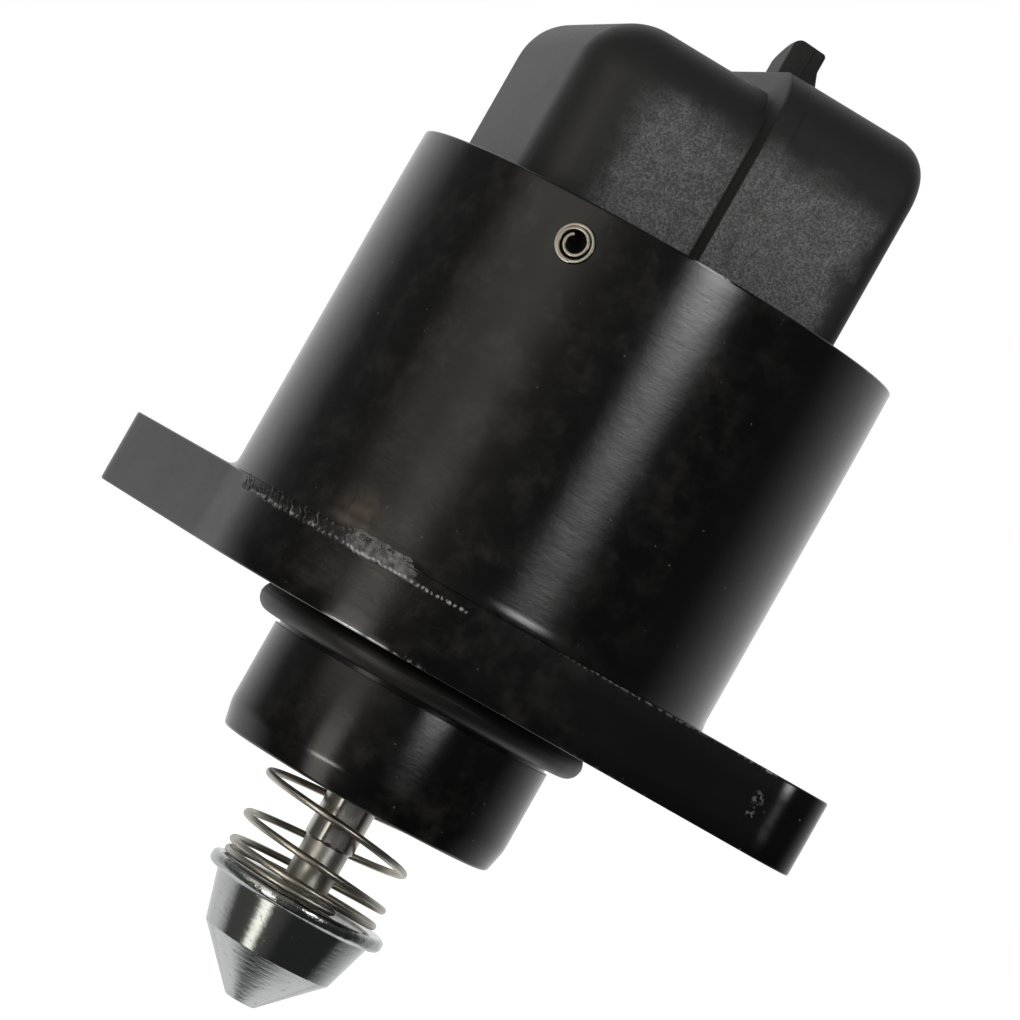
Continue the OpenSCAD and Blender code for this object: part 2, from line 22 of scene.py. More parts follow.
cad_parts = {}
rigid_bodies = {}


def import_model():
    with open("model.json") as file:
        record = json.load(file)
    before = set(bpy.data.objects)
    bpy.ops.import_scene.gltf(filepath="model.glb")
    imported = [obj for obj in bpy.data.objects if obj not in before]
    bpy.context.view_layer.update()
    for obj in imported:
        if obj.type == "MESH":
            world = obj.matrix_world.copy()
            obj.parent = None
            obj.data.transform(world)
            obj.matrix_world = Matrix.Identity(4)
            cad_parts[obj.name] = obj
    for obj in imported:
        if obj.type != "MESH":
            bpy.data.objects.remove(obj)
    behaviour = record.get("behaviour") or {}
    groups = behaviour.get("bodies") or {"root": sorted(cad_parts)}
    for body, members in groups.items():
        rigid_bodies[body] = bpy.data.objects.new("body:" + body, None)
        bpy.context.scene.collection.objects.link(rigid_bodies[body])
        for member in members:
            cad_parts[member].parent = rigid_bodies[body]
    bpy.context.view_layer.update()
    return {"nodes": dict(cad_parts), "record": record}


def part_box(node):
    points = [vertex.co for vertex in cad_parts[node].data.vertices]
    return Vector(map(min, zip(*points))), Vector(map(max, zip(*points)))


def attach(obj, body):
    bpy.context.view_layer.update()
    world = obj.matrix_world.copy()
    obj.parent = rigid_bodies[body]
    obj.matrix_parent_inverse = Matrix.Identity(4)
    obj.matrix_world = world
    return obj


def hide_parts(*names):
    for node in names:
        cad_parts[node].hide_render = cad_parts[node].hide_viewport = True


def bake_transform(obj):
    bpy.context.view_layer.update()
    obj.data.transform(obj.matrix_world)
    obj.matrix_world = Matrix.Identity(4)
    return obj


LOG = logging.getLogger("idle_air_valve")
MM = 0.001
FULL_TURN = 2 * math.pi
QUARTER_TURN = math.pi / 2
PHOTO_PIXELS = 1020
Triple = tuple[float, float, float]
Colour = tuple[float, float, float, float]


class Body(Enum):
    """The CAD bodies that pieces ride on."""

    HOUSING = "housing"
    PINTLE = "pintle"


class Wire:
    """One output of a node, so that shader maths reads as Python expressions."""

    def __init__(self, net: "ShaderNet", socket: bpy.types.NodeSocket) -> None:
        """Keeps the socket and the net that new Math nodes go into."""
        self.net = net
        self.socket = socket

    def maths(self, operation: str, *others: "Wire | float") -> "Wire":
        """Adds one Math node.

        Args:
            operation: the Math node's operation.
            others: its second and third inputs.

        Returns:
            The node's value.
        """
        inputs = {i: value for i, value in enumerate((self, *others))}
        return self.net.wire("ShaderNodeMath", {"operation": operation}, inputs)

    def __add__(self, other: "Wire | float") -> "Wire":
        """Sum."""
        return self.maths("ADD", other)

    __radd__ = __add__

    def __sub__(self, other: "Wire | float") -> "Wire":
        """Difference."""
        return self.maths("SUBTRACT", other)

    def __rsub__(self, other: float) -> "Wire":
        """Difference from a number, such as 1 - mask."""
        return (self * -1.0) + other

    def __mul__(self, other: "Wire | float") -> "Wire":
        """Product."""
        return self.maths("MULTIPLY", other)

    def __truediv__(self, other: "Wire | float") -> "Wire":
        """Quotient."""
        return self.maths("DIVIDE", other)

    def __abs__(self) -> "Wire":
        """Size without its sign."""
        return self.maths("ABSOLUTE")

    def away(self, place: Triple) -> "Wire":
        """Distance in metres from a place given in millimetres."""
        inputs = {0: self, 1: tuple(c * MM for c in place)}
        return self.net.wire("ShaderNodeVectorMath", {"operation": "DISTANCE"}, inputs, 1)

    def most(self, other: "Wire | float") -> "Wire":
        """The larger of two values."""
        return self.maths("MAXIMUM", other)

    def band(self, middle: float, half: float) -> "Wire":
        """1 near the middle, easing to 0 from 0.4 to 1.6 half-widths away."""
        return 1 - abs(self - middle).between(0.4 * half, 1.6 * half)

    def between(self, low: float, high: float) -> "Wire":
        """Eases from 0 at low to 1 at high, and stays there outside them."""
        settings = {"interpolation_type": "SMOOTHSTEP"}
        inputs = {"Value": self, "From Min": low, "From Max": high}
        return self.net.wire("ShaderNodeMapRange", settings, inputs)


class ShaderNet:
    """The nodes of a material or of the world."""

    def __init__(self, owner: bpy.types.Material | bpy.types.World) -> None:
        """Empties the owner's nodes and keeps its tree."""
        owner.use_nodes = True
        self.owner = owner
        self.tree = owner.node_tree
        self.tree.nodes.clear()

    @classmethod
    def material(cls, name: str) -> "ShaderNet":
        """Starts an empty material of that name."""
        return cls(bpy.data.materials.new(name))

    def node(
        self,
        kind: str,
        settings: Mapping[str, object] | None = None,
        inputs: Mapping[str | int, object] | None = None,
    ) -> bpy.types.Node:
        """Adds one node.

        Args:
            kind: the node's type.
            settings: its properties, which are set before its inputs.
            inputs: values or wires by the socket's name or number.

        Returns:
            The node.
        """
        node = self.tree.nodes.new(kind)
        for name, value in (settings or {}).items():
            setattr(node, name, value)
        for key, value in (inputs or {}).items():
            socket = node.inputs[key]
            if isinstance(value, Wire):
                self.tree.links.new(value.socket, socket)
            else:
                socket.default_value = value
        return node

    def wire(
        self,
        kind: str,
        settings: Mapping[str, object] | None = None,
        inputs: Mapping[str | int, object] | None = None,
        output: str | int = 0,
    ) -> Wire:
        """Adds one node and gives one of its outputs."""
        return Wire(self, self.node(kind, settings, inputs).outputs[output])

    def place(self) -> Wire:
        """The Object coordinates, in metres in the row frame."""
        return self.wire("ShaderNodeTexCoord", output="Object")

    def parts(self, vector: Wire) -> tuple[Wire, Wire, Wire]:
        """The three numbers of a vector."""
        node = self.node("ShaderNodeSeparateXYZ", None, {0: vector})
        return tuple(Wire(self, node.outputs[i]) for i in range(3))

    def vector(self, x: Wire | float, y: Wire | float, z: Wire | float) -> Wire:
        """A vector from three numbers."""
        return self.wire("ShaderNodeCombineXYZ", None, {0: x, 1: y, 2: z})

    def noise(self, where: Wire, scale: float, detail: float = 3, rough: float = 0.5) -> Wire:
        """Smooth noise from 0 to 1 with that many waves a metre."""
        inputs = {"Vector": where, "Scale": scale, "Detail": detail, "Roughness": rough}
        return self.wire("ShaderNodeTexNoise", {"noise_dimensions": "3D"}, inputs)

    def mix(self, factor: Wire | float, low: Wire | Colour, high: Wire | Colour) -> Wire:
        """A colour between two colours, through the node's colour sockets."""
        return self.wire("ShaderNodeMix", {"data_type": "RGBA"}, {0: factor, 6: low, 7: high}, 2)

    def ring_place(self) -> tuple[Wire, Wire, Wire]:
        """Angle in turns, distance from Z and height of the shaded point.

        Returns:
            The angle, the distance and the height.
        """
        x, y, z = self.parts(self.place())
        turn = y.maths("ARCTAN2", x) / FULL_TURN
        radius = (x * x + y * y).maths("SQRT")
        return turn, radius, z

    def facing(self) -> tuple[Wire, Wire, Wire]:
        """The three numbers of the surface's normal."""
        return self.parts(self.wire("ShaderNodeTexCoord", output="Normal"))

    def stored(self, name: str) -> Wire:
        """The share of that name on the mesh's points."""
        return self.wire("ShaderNodeAttribute", {"attribute_name": name}, output="Fac")

    def close(self, shader: bpy.types.Node, kind: str = "ShaderNodeOutputMaterial") -> None:
        """Links the last shader to the net's output."""
        self.tree.links.new(shader.outputs[0], self.node(kind).inputs["Surface"])

    def surface(
        self, colour: Wire, rough: Wire, relief: Wire, depth: float, metal: Wire | float = 0.0
    ) -> bpy.types.Material:
        """Closes the net with a Principled shader.

        Args:
            colour: base colour.
            rough: roughness.
            relief: heights of the bump.
            depth: what a height of 1 stands for, in metres.
            metal: how metallic it is.

        Returns:
            The material.
        """
        bump = {"Height": relief, "Distance": depth, "Strength": 1.0}
        normal = self.wire("ShaderNodeBump", None, bump)
        inputs = {"Base Color": colour, "Roughness": rough, "Metallic": metal, "Normal": normal}
        self.close(self.node("ShaderNodeBsdfPrincipled", None, inputs))
        return self.owner


def grey(level: float, warm: float = 0.0) -> Colour:
    """A linear grey, made warmer by raising red and lowering blue."""
    return (level * (1 + warm), level, level * (1 - warm), 1.0)


def darker(colour: Colour, share: float) -> Colour:
    """That share of a colour's red, green and blue."""
    return (*(c * share for c in colour[:3]), 1.0)


@dataclass(frozen=True)
class CastingPaint:
    """Half-gloss black paint over a casting, with streaks, dust and wear.

    worn_and_glint_spots holds the middle and the reach of each spot in millimetres,
    the noise level over which its metal shows and how bare it is. Those with
    a reach of a millimetre or more keep to edges. Some spots are worn chips,
    and some are painted highlights: bare metal put on an edge where it would
    catch a lamp's glint. tinted is the middle of a painted brownish highlight
    on the can over the flash, and the casting's left (-x) half carries the
    paint's own mottle, made lighter and warm there as painted light from that
    side. foot and foot_top are the heights in metres between which the can's
    foot keeps its paint, and ear_from is the radius in metres where the ears start.
    """

    name: str = "painted_casting"
    paint: float = 0.002
    roughness: float = 0.15
    relief_depth: float = 0.000018
    foot: float = 0.00508
    foot_top: float = 0.009
    ear_from: float = 0.0173
    worn_and_glint_spots: tuple[tuple[Triple, float, float, float], ...] = (
        # Worn chips and a painted highlight: bare metal on the rim's edge, where it catches the right lamp's
        # glint.
        ((-0.7, -17.1, 29.8), 1.5, 0.3, 1.0),
        # On the flange's lower edge: worn chips, and a painted highlight line where the edge catches the low
        # lamp.
        ((-9.3, -14.5, 0.0), 1.8, 0.28, 1.0),
        ((-7.2, -15.7, 0.0), 1.0, 0.3, 0.9),
        ((-5.0, -16.5, 0.0), 1.2, 0.5, 0.5),
        # On the flange's upper edge, right: a faint painted highlight line along it, and worn nicks on the
        # ear.
        ((7.7, -19.4, 5.05), 6.5, 0.46, 0.12),
        ((15.8, -21.2, 5.05), 2.2, 0.52, 0.22),
        # Painted highlight: bright specks down the corner of the right ear's end, where its edge catches the
        # light.
        ((16.8, -21.4, 3.3), 0.6, 0.5, 0.16),
        ((16.9, -21.4, 2.4), 0.5, 0.52, 0.24),
    )
    tinted: Triple = (-11.5, -12.8, 6.3)

    def wear_and_glints(self, net: ShaderNet, where: Wire, slope: Wire, z: Wire) -> Wire:
        """How bare the worn edges and spots are.

        Args:
            net: the paint's nodes.
            where: the shaded point.
            slope: 1 where the surface leans half-way, 0 on flats and walls.
            z: height of the point.

        Returns:
            The bare share, 0 on the can's foot; it also holds painted highlights on some edges.
        """
        worn = net.noise(where, 900, 5, 0.7).between(0.62, 0.7)
        bare = slope.between(0.35, 0.8) * worn * z.between(-0.006, -0.004) * 0.8
        sparkle = net.noise(where, 3400, 3, 0.6)
        # The listed spots are worn chips and painted highlights on edges, each as its comment in the table
        # says.
        for place, reach, limit, strength in self.worn_and_glint_spots:
            near = where.away(place).between(reach * MM, reach * 0.4 * MM)
            edge = slope.between(0.2, 0.6).most(float(reach < 1))
            bare = bare.most(near * edge * sparkle.between(limit, limit + 0.12) * strength)
        over_foot = z.between(self.foot, self.foot + 0.00004)
        return bare * (1 - over_foot * z.between(self.foot_top, self.foot_top - 0.0002))

    def build(self) -> bpy.types.Material:
        """Paint whose edges and rough patches let bare metal through.

        Returns:
            The material.
        """
        net = ShaderNet.material(self.name)
        where = net.place()
        left = net.parts(where)[0] * -1.0
        turn, radius, z = net.ring_place()
        streaks = net.noise(net.vector(turn * 0.02, radius, z), 4200, 4, 0.6)
        blotches = net.noise(where, 160, 4, 0.55)
        specks = net.noise(where, 2600, 1, 0.5).between(0.78, 0.82)
        upright = abs(net.facing()[2])
        slope = upright * (1 - upright) * 4
        torn = net.stored("torn")
        crumbled = torn * net.noise(where, 900, 5, 0.7).between(0.62, 0.7)
        burnished = net.stored("bare") * (0.4 + net.noise(where, 2600, 3, 0.6) * 1.2)
        metal = self.wear_and_glints(net, where, slope, z).most(burnished).maths("MINIMUM", 1.0)
        # The mottle is the paint's own; making it lighter and warm only on the casting's left half is painted
        # light, for the warm light from that side.
        mottle_and_left_glow = net.noise(where, 430, 5, 0.68).between(0.42, 0.78) * left.between(-0.01, -0.001)
        # Painted highlight: a lighter brownish glow on the can just over the flash, where a reflection of the
        # left lamp falls; tinted is its middle.
        glow_spot = where.away(self.tinted).between(0.0026, 0.0002)
        painted_glow = glow_spot * net.noise(where, 1100, 3, 0.6).between(0.2, 0.75)
        matt = net.mix(mottle_and_left_glow, grey(self.paint), grey(0.017, 0.08))
        matt = net.mix(painted_glow * 0.75, matt, (0.085, 0.06, 0.045, 1))
        dusty = net.mix(specks * 0.35, matt, grey(0.16, 0.05))
        colour = net.mix(metal, dusty, grey(0.62, 0.01))
        far_ear = radius.between(self.ear_from, self.ear_from + 0.0005) * left.between(0.0, 0.002)
        uneven = (blotches - 0.5) * 0.1 + (streaks - 0.5) * 0.06
        rough = self.roughness + uneven + far_ear * 0.2 + torn * 0.3 + specks * 0.3
        waves = streaks * 0.16 + net.noise(where, 750, 4, 0.6) * 0.4 + blotches * 0.5
        relief = waves + specks * 0.2 + crumbled * 1.2
        return net.surface(colour, rough, relief, self.relief_depth, metal * 0.45)


@dataclass(frozen=True)
class MouldedPlastic:
    """Black moulded plastic: grained flats, smooth fillets and a mould seam.

    The flats' grain is painted lighter where light falls on them: the grain
    is the plastic's own, its brightness is painted sheen. The pairs are
    heights and places across, in metres, between which that painted sheen
    fades out and in at the top and towards both sides.
    """

    name: str = "connector_plastic"
    base: float = 0.012
    relief_depth: float = 0.00006
    seam_x: float = 0.96 * MM
    seam_from: float = 0.0298
    sheen_below: tuple[float, float] = (0.0398, 0.0366)
    sheen_left: tuple[float, float] = (-0.0094, -0.0062)
    sheen_right: tuple[float, float] = (0.0092, 0.0068)

    def build(self) -> bpy.types.Material:
        """Plastic whose grain shows on the flat faces only.

        Returns:
            The material.
        """
        net = ShaderNet.material(self.name)
        where = net.place()
        x, _, z = net.parts(where)
        across, along, _ = net.facing()
        flat = abs(along).between(0.93, 0.995)
        side = abs(across).between(0.93, 0.995)
        grain = net.noise(where, 6200, 4, 0.8)
        coarse = net.noise(where, 1500, 4, 0.7)
        depth = flat + side * 0.35 + 0.12
        seam = 1 - abs(x - self.seam_x).between(0.00003, 0.00008)
        uneven = (net.noise(where, 420, 3, 0.55) - 0.5) * 0.0035
        below = (z + uneven).between(*self.sheen_below)
        place = x + uneven
        inboard = place.between(*self.sheen_left) * place.between(*self.sheen_right)
        # Painted sheen: the flats facing front and back are made lighter with grain below the top and away
        # from the sides, where light falls on them; the side faces get a little.
        grained = flat * below * inboard + side * 0.15
        grain_sheen = grained * (0.15 + grain.between(0.36, 0.72) * 0.85) * (0.2 + coarse * 1.6)
        colour = net.mix(grain_sheen, grey(self.base), grey(0.19))
        rough = 0.5 + (grain - 0.5) * 0.3 + (coarse - 0.5) * 0.12
        seam = seam * z.between(self.seam_from, self.seam_from + 0.0002)
        relief = grain * depth + coarse * 0.3 * depth + seam * 0.8
        return net.surface(colour, rough, relief, self.relief_depth)


@dataclass(frozen=True)
class SealRubber:
    """Black moulded rubber, slightly dusty."""

    name: str = "seal_rubber"
    relief_depth: float = 0.00001

    def build(self) -> bpy.types.Material:
        """Rubber with a fine dull bloom.

        Returns:
            The material.
        """
        net = ShaderNet.material(self.name)
        bloom = net.noise(net.place(), 700, 4, 0.6)
        specks = net.noise(net.place(), 3600, 1).between(0.74, 0.8)
        colour = net.mix(specks * 0.5 + bloom * 0.1, grey(0.004), grey(0.06, 0.04))
        rough = 0.36 + bloom * 0.2
        return net.surface(colour, rough, bloom + specks * 0.4, self.relief_depth)


@dataclass(frozen=True)
class TurnedMetal:
    """Metal turned on a lathe: fine rings round the axis, plated or bare.

    The dents grow from rim_from outwards, a radius in metres.
    """

    name: str
    colour: Colour
    roughness: float = 0.2
    ring_waves: float = 9000.0
    ring_depth: float = 0.000004
    stain: float = 0.25
    pits: float = 0.0
    dents: float = 0.0
    rim_from: float = 0.0056

    def build(self) -> bpy.types.Material:
        """Rings come from noise that changes with height and radius only.

        Returns:
            The material.
        """
        net = ShaderNet.material(self.name)
        turn, radius, z = net.ring_place()
        rings = net.noise(net.vector(turn * 0.0006, radius, z), self.ring_waves, 3, 0.7)
        stains = net.noise(net.place(), 420, 5, 0.65)
        pits = net.noise(net.place(), 2300, 4, 0.7).between(0.56, 0.72) * self.pits
        tinted = stains.between(0.45, 0.8) * self.stain + pits
        colour = net.mix(tinted, self.colour, darker(self.colour, 0.55))
        rough = self.roughness + (stains - 0.5) * 0.2 + (rings - 0.5) * 0.12 + pits * 0.3
        dents = net.noise(net.vector(turn * 0.005, radius, z), 3000, 3, 0.65) * self.dents
        at_rim = radius.between(self.rim_from, self.rim_from + 0.0004) * self.dents
        dents = dents + at_rim * net.noise(net.place(), 1500, 3, 0.6) * 2.2
        return net.surface(colour, rough, rings - pits * 0.7 + dents, self.ring_depth, 1.0)


@dataclass(frozen=True)
class DrawnMetal:
    """Metal drawn or pressed lengthways: fine lines along one axis.

    Below the height dull_below, in metres, it is duller.
    """

    name: str
    colour: Colour
    roughness: float = 0.25
    stretch: Triple = (1.0, 1.0, 0.03)
    line_depth: float = 0.000003
    stain: float = 0.3
    dull_below: float = -1.0

    def build(self) -> bpy.types.Material:
        """Lines come from noise stretched along the drawing direction.

        Returns:
            The material.
        """
        net = ShaderNet.material(self.name)
        where = net.place()
        parts = net.parts(where)
        along = net.vector(*(part * share for part, share in zip(parts, self.stretch)))
        lines = net.noise(along, 9000, 3, 0.7)
        stains = net.noise(where, 650, 5, 0.6)
        tinted = stains.between(0.45, 0.8) * self.stain
        colour = net.mix(tinted, self.colour, darker(self.colour, 0.5))
        dull = parts[2].between(self.dull_below, self.dull_below - 0.0001) * 0.2
        rough = self.roughness + (stains - 0.5) * 0.25 + (lines - 0.5) * 0.1 + dull
        return net.surface(colour, rough, lines, self.line_depth, 1.0)


@dataclass(frozen=True)
class PlainPlastic:
    """Natural or dark moulded plastic of a hidden piece, or a sintered block."""

    name: str
    colour: Colour
    roughness: float = 0.45
    grain_depth: float = 0.00001

    def build(self) -> bpy.types.Material:
        """Cloudy colour with a light grain.

        Returns:
            The material.
        """
        net = ShaderNet.material(self.name)
        cloud = net.noise(net.place(), 300, 4, 0.6)
        grain = net.noise(net.place(), 4000, 2, 0.6)
        colour = net.mix(cloud, self.colour, darker(self.colour, 0.75))
        return net.surface(colour, self.roughness + (cloud - 0.5) * 0.2, grain, self.grain_depth)


@dataclass(frozen=True)
class WoundCopper:
    """Enamelled copper wire in even layers round the bobbin."""

    name: str = "coil_copper"
    turns_per_metre: float = 5500.0
    # valley_shade is painted shade in the grooves between the turns.
    valley_shade: Colour = (0.16, 0.045, 0.015, 1)
    ridge: Colour = (0.62, 0.24, 0.1, 1)
    ridge_height: float = 0.00005

    def build(self) -> bpy.types.Material:
        """Each turn is a ridge of a sine that rises with height.

        Returns:
            The material.
        """
        net = ShaderNet.material(self.name)
        turn, _, z = net.ring_place()
        wave = ((z * self.turns_per_metre + turn) * FULL_TURN).maths("SINE") * 0.5 + 0.5
        shade = net.noise(net.place(), 500, 3)
        # The colour follows the turns' sine: painted shade in the grooves, the copper's colour on the crowns.
        colour = net.mix(wave * 0.6 + shade * 0.3, self.valley_shade, self.ridge)
        return net.surface(colour, 0.25 + shade * 0.15, wave, self.ridge_height, 0.8)


def finishes() -> dict[str, bpy.types.Material]:
    """Every finish of the valve, by the record's material slot.

    Returns:
        The materials.
    """
    kinds = [
        CastingPaint(),
        MouldedPlastic(),
        SealRubber(),
        WoundCopper(),
        TurnedMetal("pintle_zinc", (0.46, 0.48, 0.47, 1), 0.12, 5000, 0.000005, 0.3, 0.6, 4.5),
        TurnedMetal("bearing_steel", (0.7, 0.7, 0.72, 1), 0.12, 12000, 0.000001, 0.1),
        TurnedMetal("bush_bronze", (0.5, 0.33, 0.17, 1), 0.38),
        TurnedMetal("nut_brass", (0.75, 0.56, 0.24, 1), 0.25),
        TurnedMetal("cage_brass", (0.7, 0.5, 0.22, 1), 0.28),
        DrawnMetal("shaft_steel", (0.52, 0.5, 0.46, 1), 0.15, dull_below=-0.013),
        DrawnMetal("spring_steel", (0.52, 0.5, 0.44, 1), 0.34, (1, 1, 1)),
        DrawnMetal("pin_steel", (0.42, 0.39, 0.34, 1), 0.3, (1, 1, 1)),
        DrawnMetal("terminal_tin", (0.66, 0.63, 0.56, 1), 0.28, (1, 0.03, 1)),
        DrawnMetal("stator_steel", (0.5, 0.5, 0.52, 1), 0.33, (1, 1, 1)),
        PlainPlastic("bobbin_plastic", (0.72, 0.68, 0.55, 1)),
        PlainPlastic("hub_plastic", (0.8, 0.77, 0.68, 1)),
        PlainPlastic("magnet_ferrite", (0.05, 0.05, 0.055, 1), 0.55, 0.00002),
    ]
    return {kind.name: kind.build() for kind in kinds}


class Surface:
    """Meshes made from whole arrays of points on a grid.

    Points closer than MERGE, in metres, are one point.
    """

    MERGE = 2e-7

    @staticmethod
    def quads(rows: int, columns: int, wrap_rows: bool, wrap_columns: bool) -> np.ndarray:
        """Corner numbers of a grid's quads.

        Args:
            rows: number of rows of points.
            columns: number of points in a row.
            wrap_rows: whether the last row meets the first.
            wrap_columns: whether each row is a closed loop.

        Returns:
            One row of four point numbers for each quad.
        """
        row = np.arange(rows if wrap_rows else rows - 1)[:, None]
        column = np.arange(columns if wrap_columns else columns - 1)[None, :]
        next_row = (row + 1) % rows
        next_column = (column + 1) % columns
        corners = [
            row * columns + column,
            row * columns + next_column,
            next_row * columns + next_column,
            next_row * columns + column,
        ]
        return np.stack([c.ravel() for c in corners], axis=1)

    @staticmethod
    def build(
        name: str,
        grid: np.ndarray,
        wrap_rows: bool = False,
        wrap_columns: bool = False,
        caps: bool = False,
    ) -> bpy.types.Object:
        """Makes a mesh from a grid of points in millimetres.

        Args:
            name: the piece's name.
            grid: points in an array of rows, columns and three numbers.
            wrap_rows: whether the last row meets the first.
            wrap_columns: whether each row is a closed loop.
            caps: whether the first and the last row are closed with a face.

        Returns:
            The object, at the origin, with faces that point outwards.
        """
        rows, columns = grid.shape[:2]
        faces = Surface.quads(rows, columns, wrap_rows, wrap_columns).tolist()
        if caps:
            faces.append(list(range(columns)))
            faces.append(list(range((rows - 1) * columns, rows * columns)))
        mesh = bpy.data.meshes.new(name)
        mesh.from_pydata((grid.reshape(-1, 3) * MM).tolist(), [], faces)
        piece = bpy.data.objects.new(name, mesh)
        bpy.context.scene.collection.objects.link(piece)
        Surface.tidy(piece)
        return piece

    @staticmethod
    def tidy(piece: bpy.types.Object) -> None:
        """Merges doubles, so that poles close, and turns the faces outwards.

        Args:
            piece: the mesh's object.
        """
        work = bmesh.new()
        work.from_mesh(piece.data)
        bmesh.ops.remove_doubles(work, verts=work.verts, dist=Surface.MERGE)
        bmesh.ops.dissolve_degenerate(work, edges=work.edges, dist=Surface.MERGE / 2)
        bmesh.ops.recalc_face_normals(work, faces=work.faces)
        work.to_mesh(piece.data)
        work.free()

    @staticmethod
    def dress(piece: bpy.types.Object, finish: bpy.types.Material, angle: float) -> None:
        """Gives one finish, shaded smooth but for edges sharper than the angle.

        Args:
            piece: the mesh's object.
            finish: its material.
            angle: the sharpest smooth edge, in degrees.
        """
        piece.data.shade_smooth()
        piece.data.set_sharp_from_angle(angle=math.radians(angle))
        piece.data.materials.clear()
        piece.data.materials.append(finish)

    @staticmethod
    def combine(piece: bpy.types.Object, other: bpy.types.Object, operation: str) -> None:
        """Joins or cuts the piece by another closed mesh, which goes.

        Args:
            piece: the mesh that stays.
            other: the closed mesh that goes.
            operation: UNION or DIFFERENCE.
        """
        modifier = piece.modifiers.new("combine", "BOOLEAN")
        modifier.operation = operation
        modifier.object = other
        modifier.solver = "EXACT"
        view = bpy.context.evaluated_depsgraph_get()
        baked = bpy.data.meshes.new_from_object(piece.evaluated_get(view))
        piece.modifiers.clear()
        piece.data = baked
        bpy.data.objects.remove(other)

    @staticmethod
    def set_share(piece: bpy.types.Object, name: str, values: np.ndarray) -> None:
        """Stores one number from 0 to 1 on each point, for a material."""
        attribute = piece.data.attributes.new(name, "FLOAT", "POINT")
        attribute.data.foreach_set("value", values.astype(np.float32))


def rounded_outline(corners: Sequence[Triple], steps: int) -> np.ndarray:
    """A closed outline whose corners are arcs that touch both sides.

    Args:
        corners: across, up and radius of each corner in order.
        steps: number of stretches in each arc.

    Returns:
        The outline's points, across and up.
    """
    places = np.array([c[:2] for c in corners], float)
    before = np.roll(places, 1, axis=0) - places
    after = np.roll(places, -1, axis=0) - places
    before /= np.linalg.norm(before, axis=1, keepdims=True)
    after /= np.linalg.norm(after, axis=1, keepdims=True)
    half = np.arccos(np.clip((before * after).sum(1), -1, 1)) / 2
    pieces = []
    for place, back, ahead, opening, corner in zip(places, before, after, half, corners):
        radius = corner[2]
        if radius <= 0:
            pieces.append(place[None, :])
            continue
        reach = radius / math.tan(opening)
        middle = (back + ahead) / np.linalg.norm(back + ahead)
        centre = place + middle * radius / math.sin(opening)
        first = place + back * reach - centre
        last = place + ahead * reach - centre
        share = np.linspace(0, 1, steps + 1)[:, None]
        arc = first * (1 - share) + last * share
        arc *= radius / np.linalg.norm(arc, axis=1, keepdims=True)
        pieces.append(centre + arc)
    return np.vstack(pieces)


def ring_points(radius: np.ndarray, turn: np.ndarray, z: np.ndarray) -> np.ndarray:
    """Points at that distance from Z, that angle round it and that height."""
    return np.stack([radius * np.cos(turn), radius * np.sin(turn), z + 0 * turn], axis=-1)


def revolve(outline: np.ndarray, segments: int) -> np.ndarray:
    """Carries an outline of radius and height round Z, a row for each step."""
    turn = np.linspace(0, FULL_TURN, segments, endpoint=False)[:, None]
    return ring_points(outline[:, 0][None, :], turn, outline[:, 1][None, :])


def turned(out: np.ndarray, across: np.ndarray, up: np.ndarray, angle: float) -> np.ndarray:
    """Points given outwards, across and up, turned about Z by that angle."""
    cos, sin = math.cos(angle), math.sin(angle)
    return np.stack([out * cos - across * sin, out * sin + across * cos, up], axis=-1)


def eased(share: np.ndarray) -> np.ndarray:
    """A share that starts and ends level, by the curve 3s² - 2s³."""
    return share * share * (3 - 2 * share)


def value_noise(shape: tuple[int, int], cells: tuple[int, int], seed: int) -> np.ndarray:
    """Smooth random heights from -1 to 1 on a grid.

    Random numbers on a coarse grid are joined by eased steps between its
    points, first down the rows and then along them.

    Args:
        shape: rows and columns of the result.
        cells: rows and columns of the coarse grid.
        seed: the random generator's seed.

    Returns:
        The heights.
    """
    coarse = np.random.default_rng(seed).uniform(-1, 1, (cells[0] + 1, cells[1] + 1))
    row = np.linspace(0, cells[0] - 1e-6, shape[0])
    column = np.linspace(0, cells[1] - 1e-6, shape[1])
    row_cell, column_cell = row.astype(int), column.astype(int)
    row_share = eased(row - row_cell)[:, None]
    column_share = eased(column - column_cell)[None, :]
    low = coarse[row_cell] * (1 - row_share) + coarse[row_cell + 1] * row_share
    return low[:, column_cell] * (1 - column_share) + low[:, column_cell + 1] * column_share


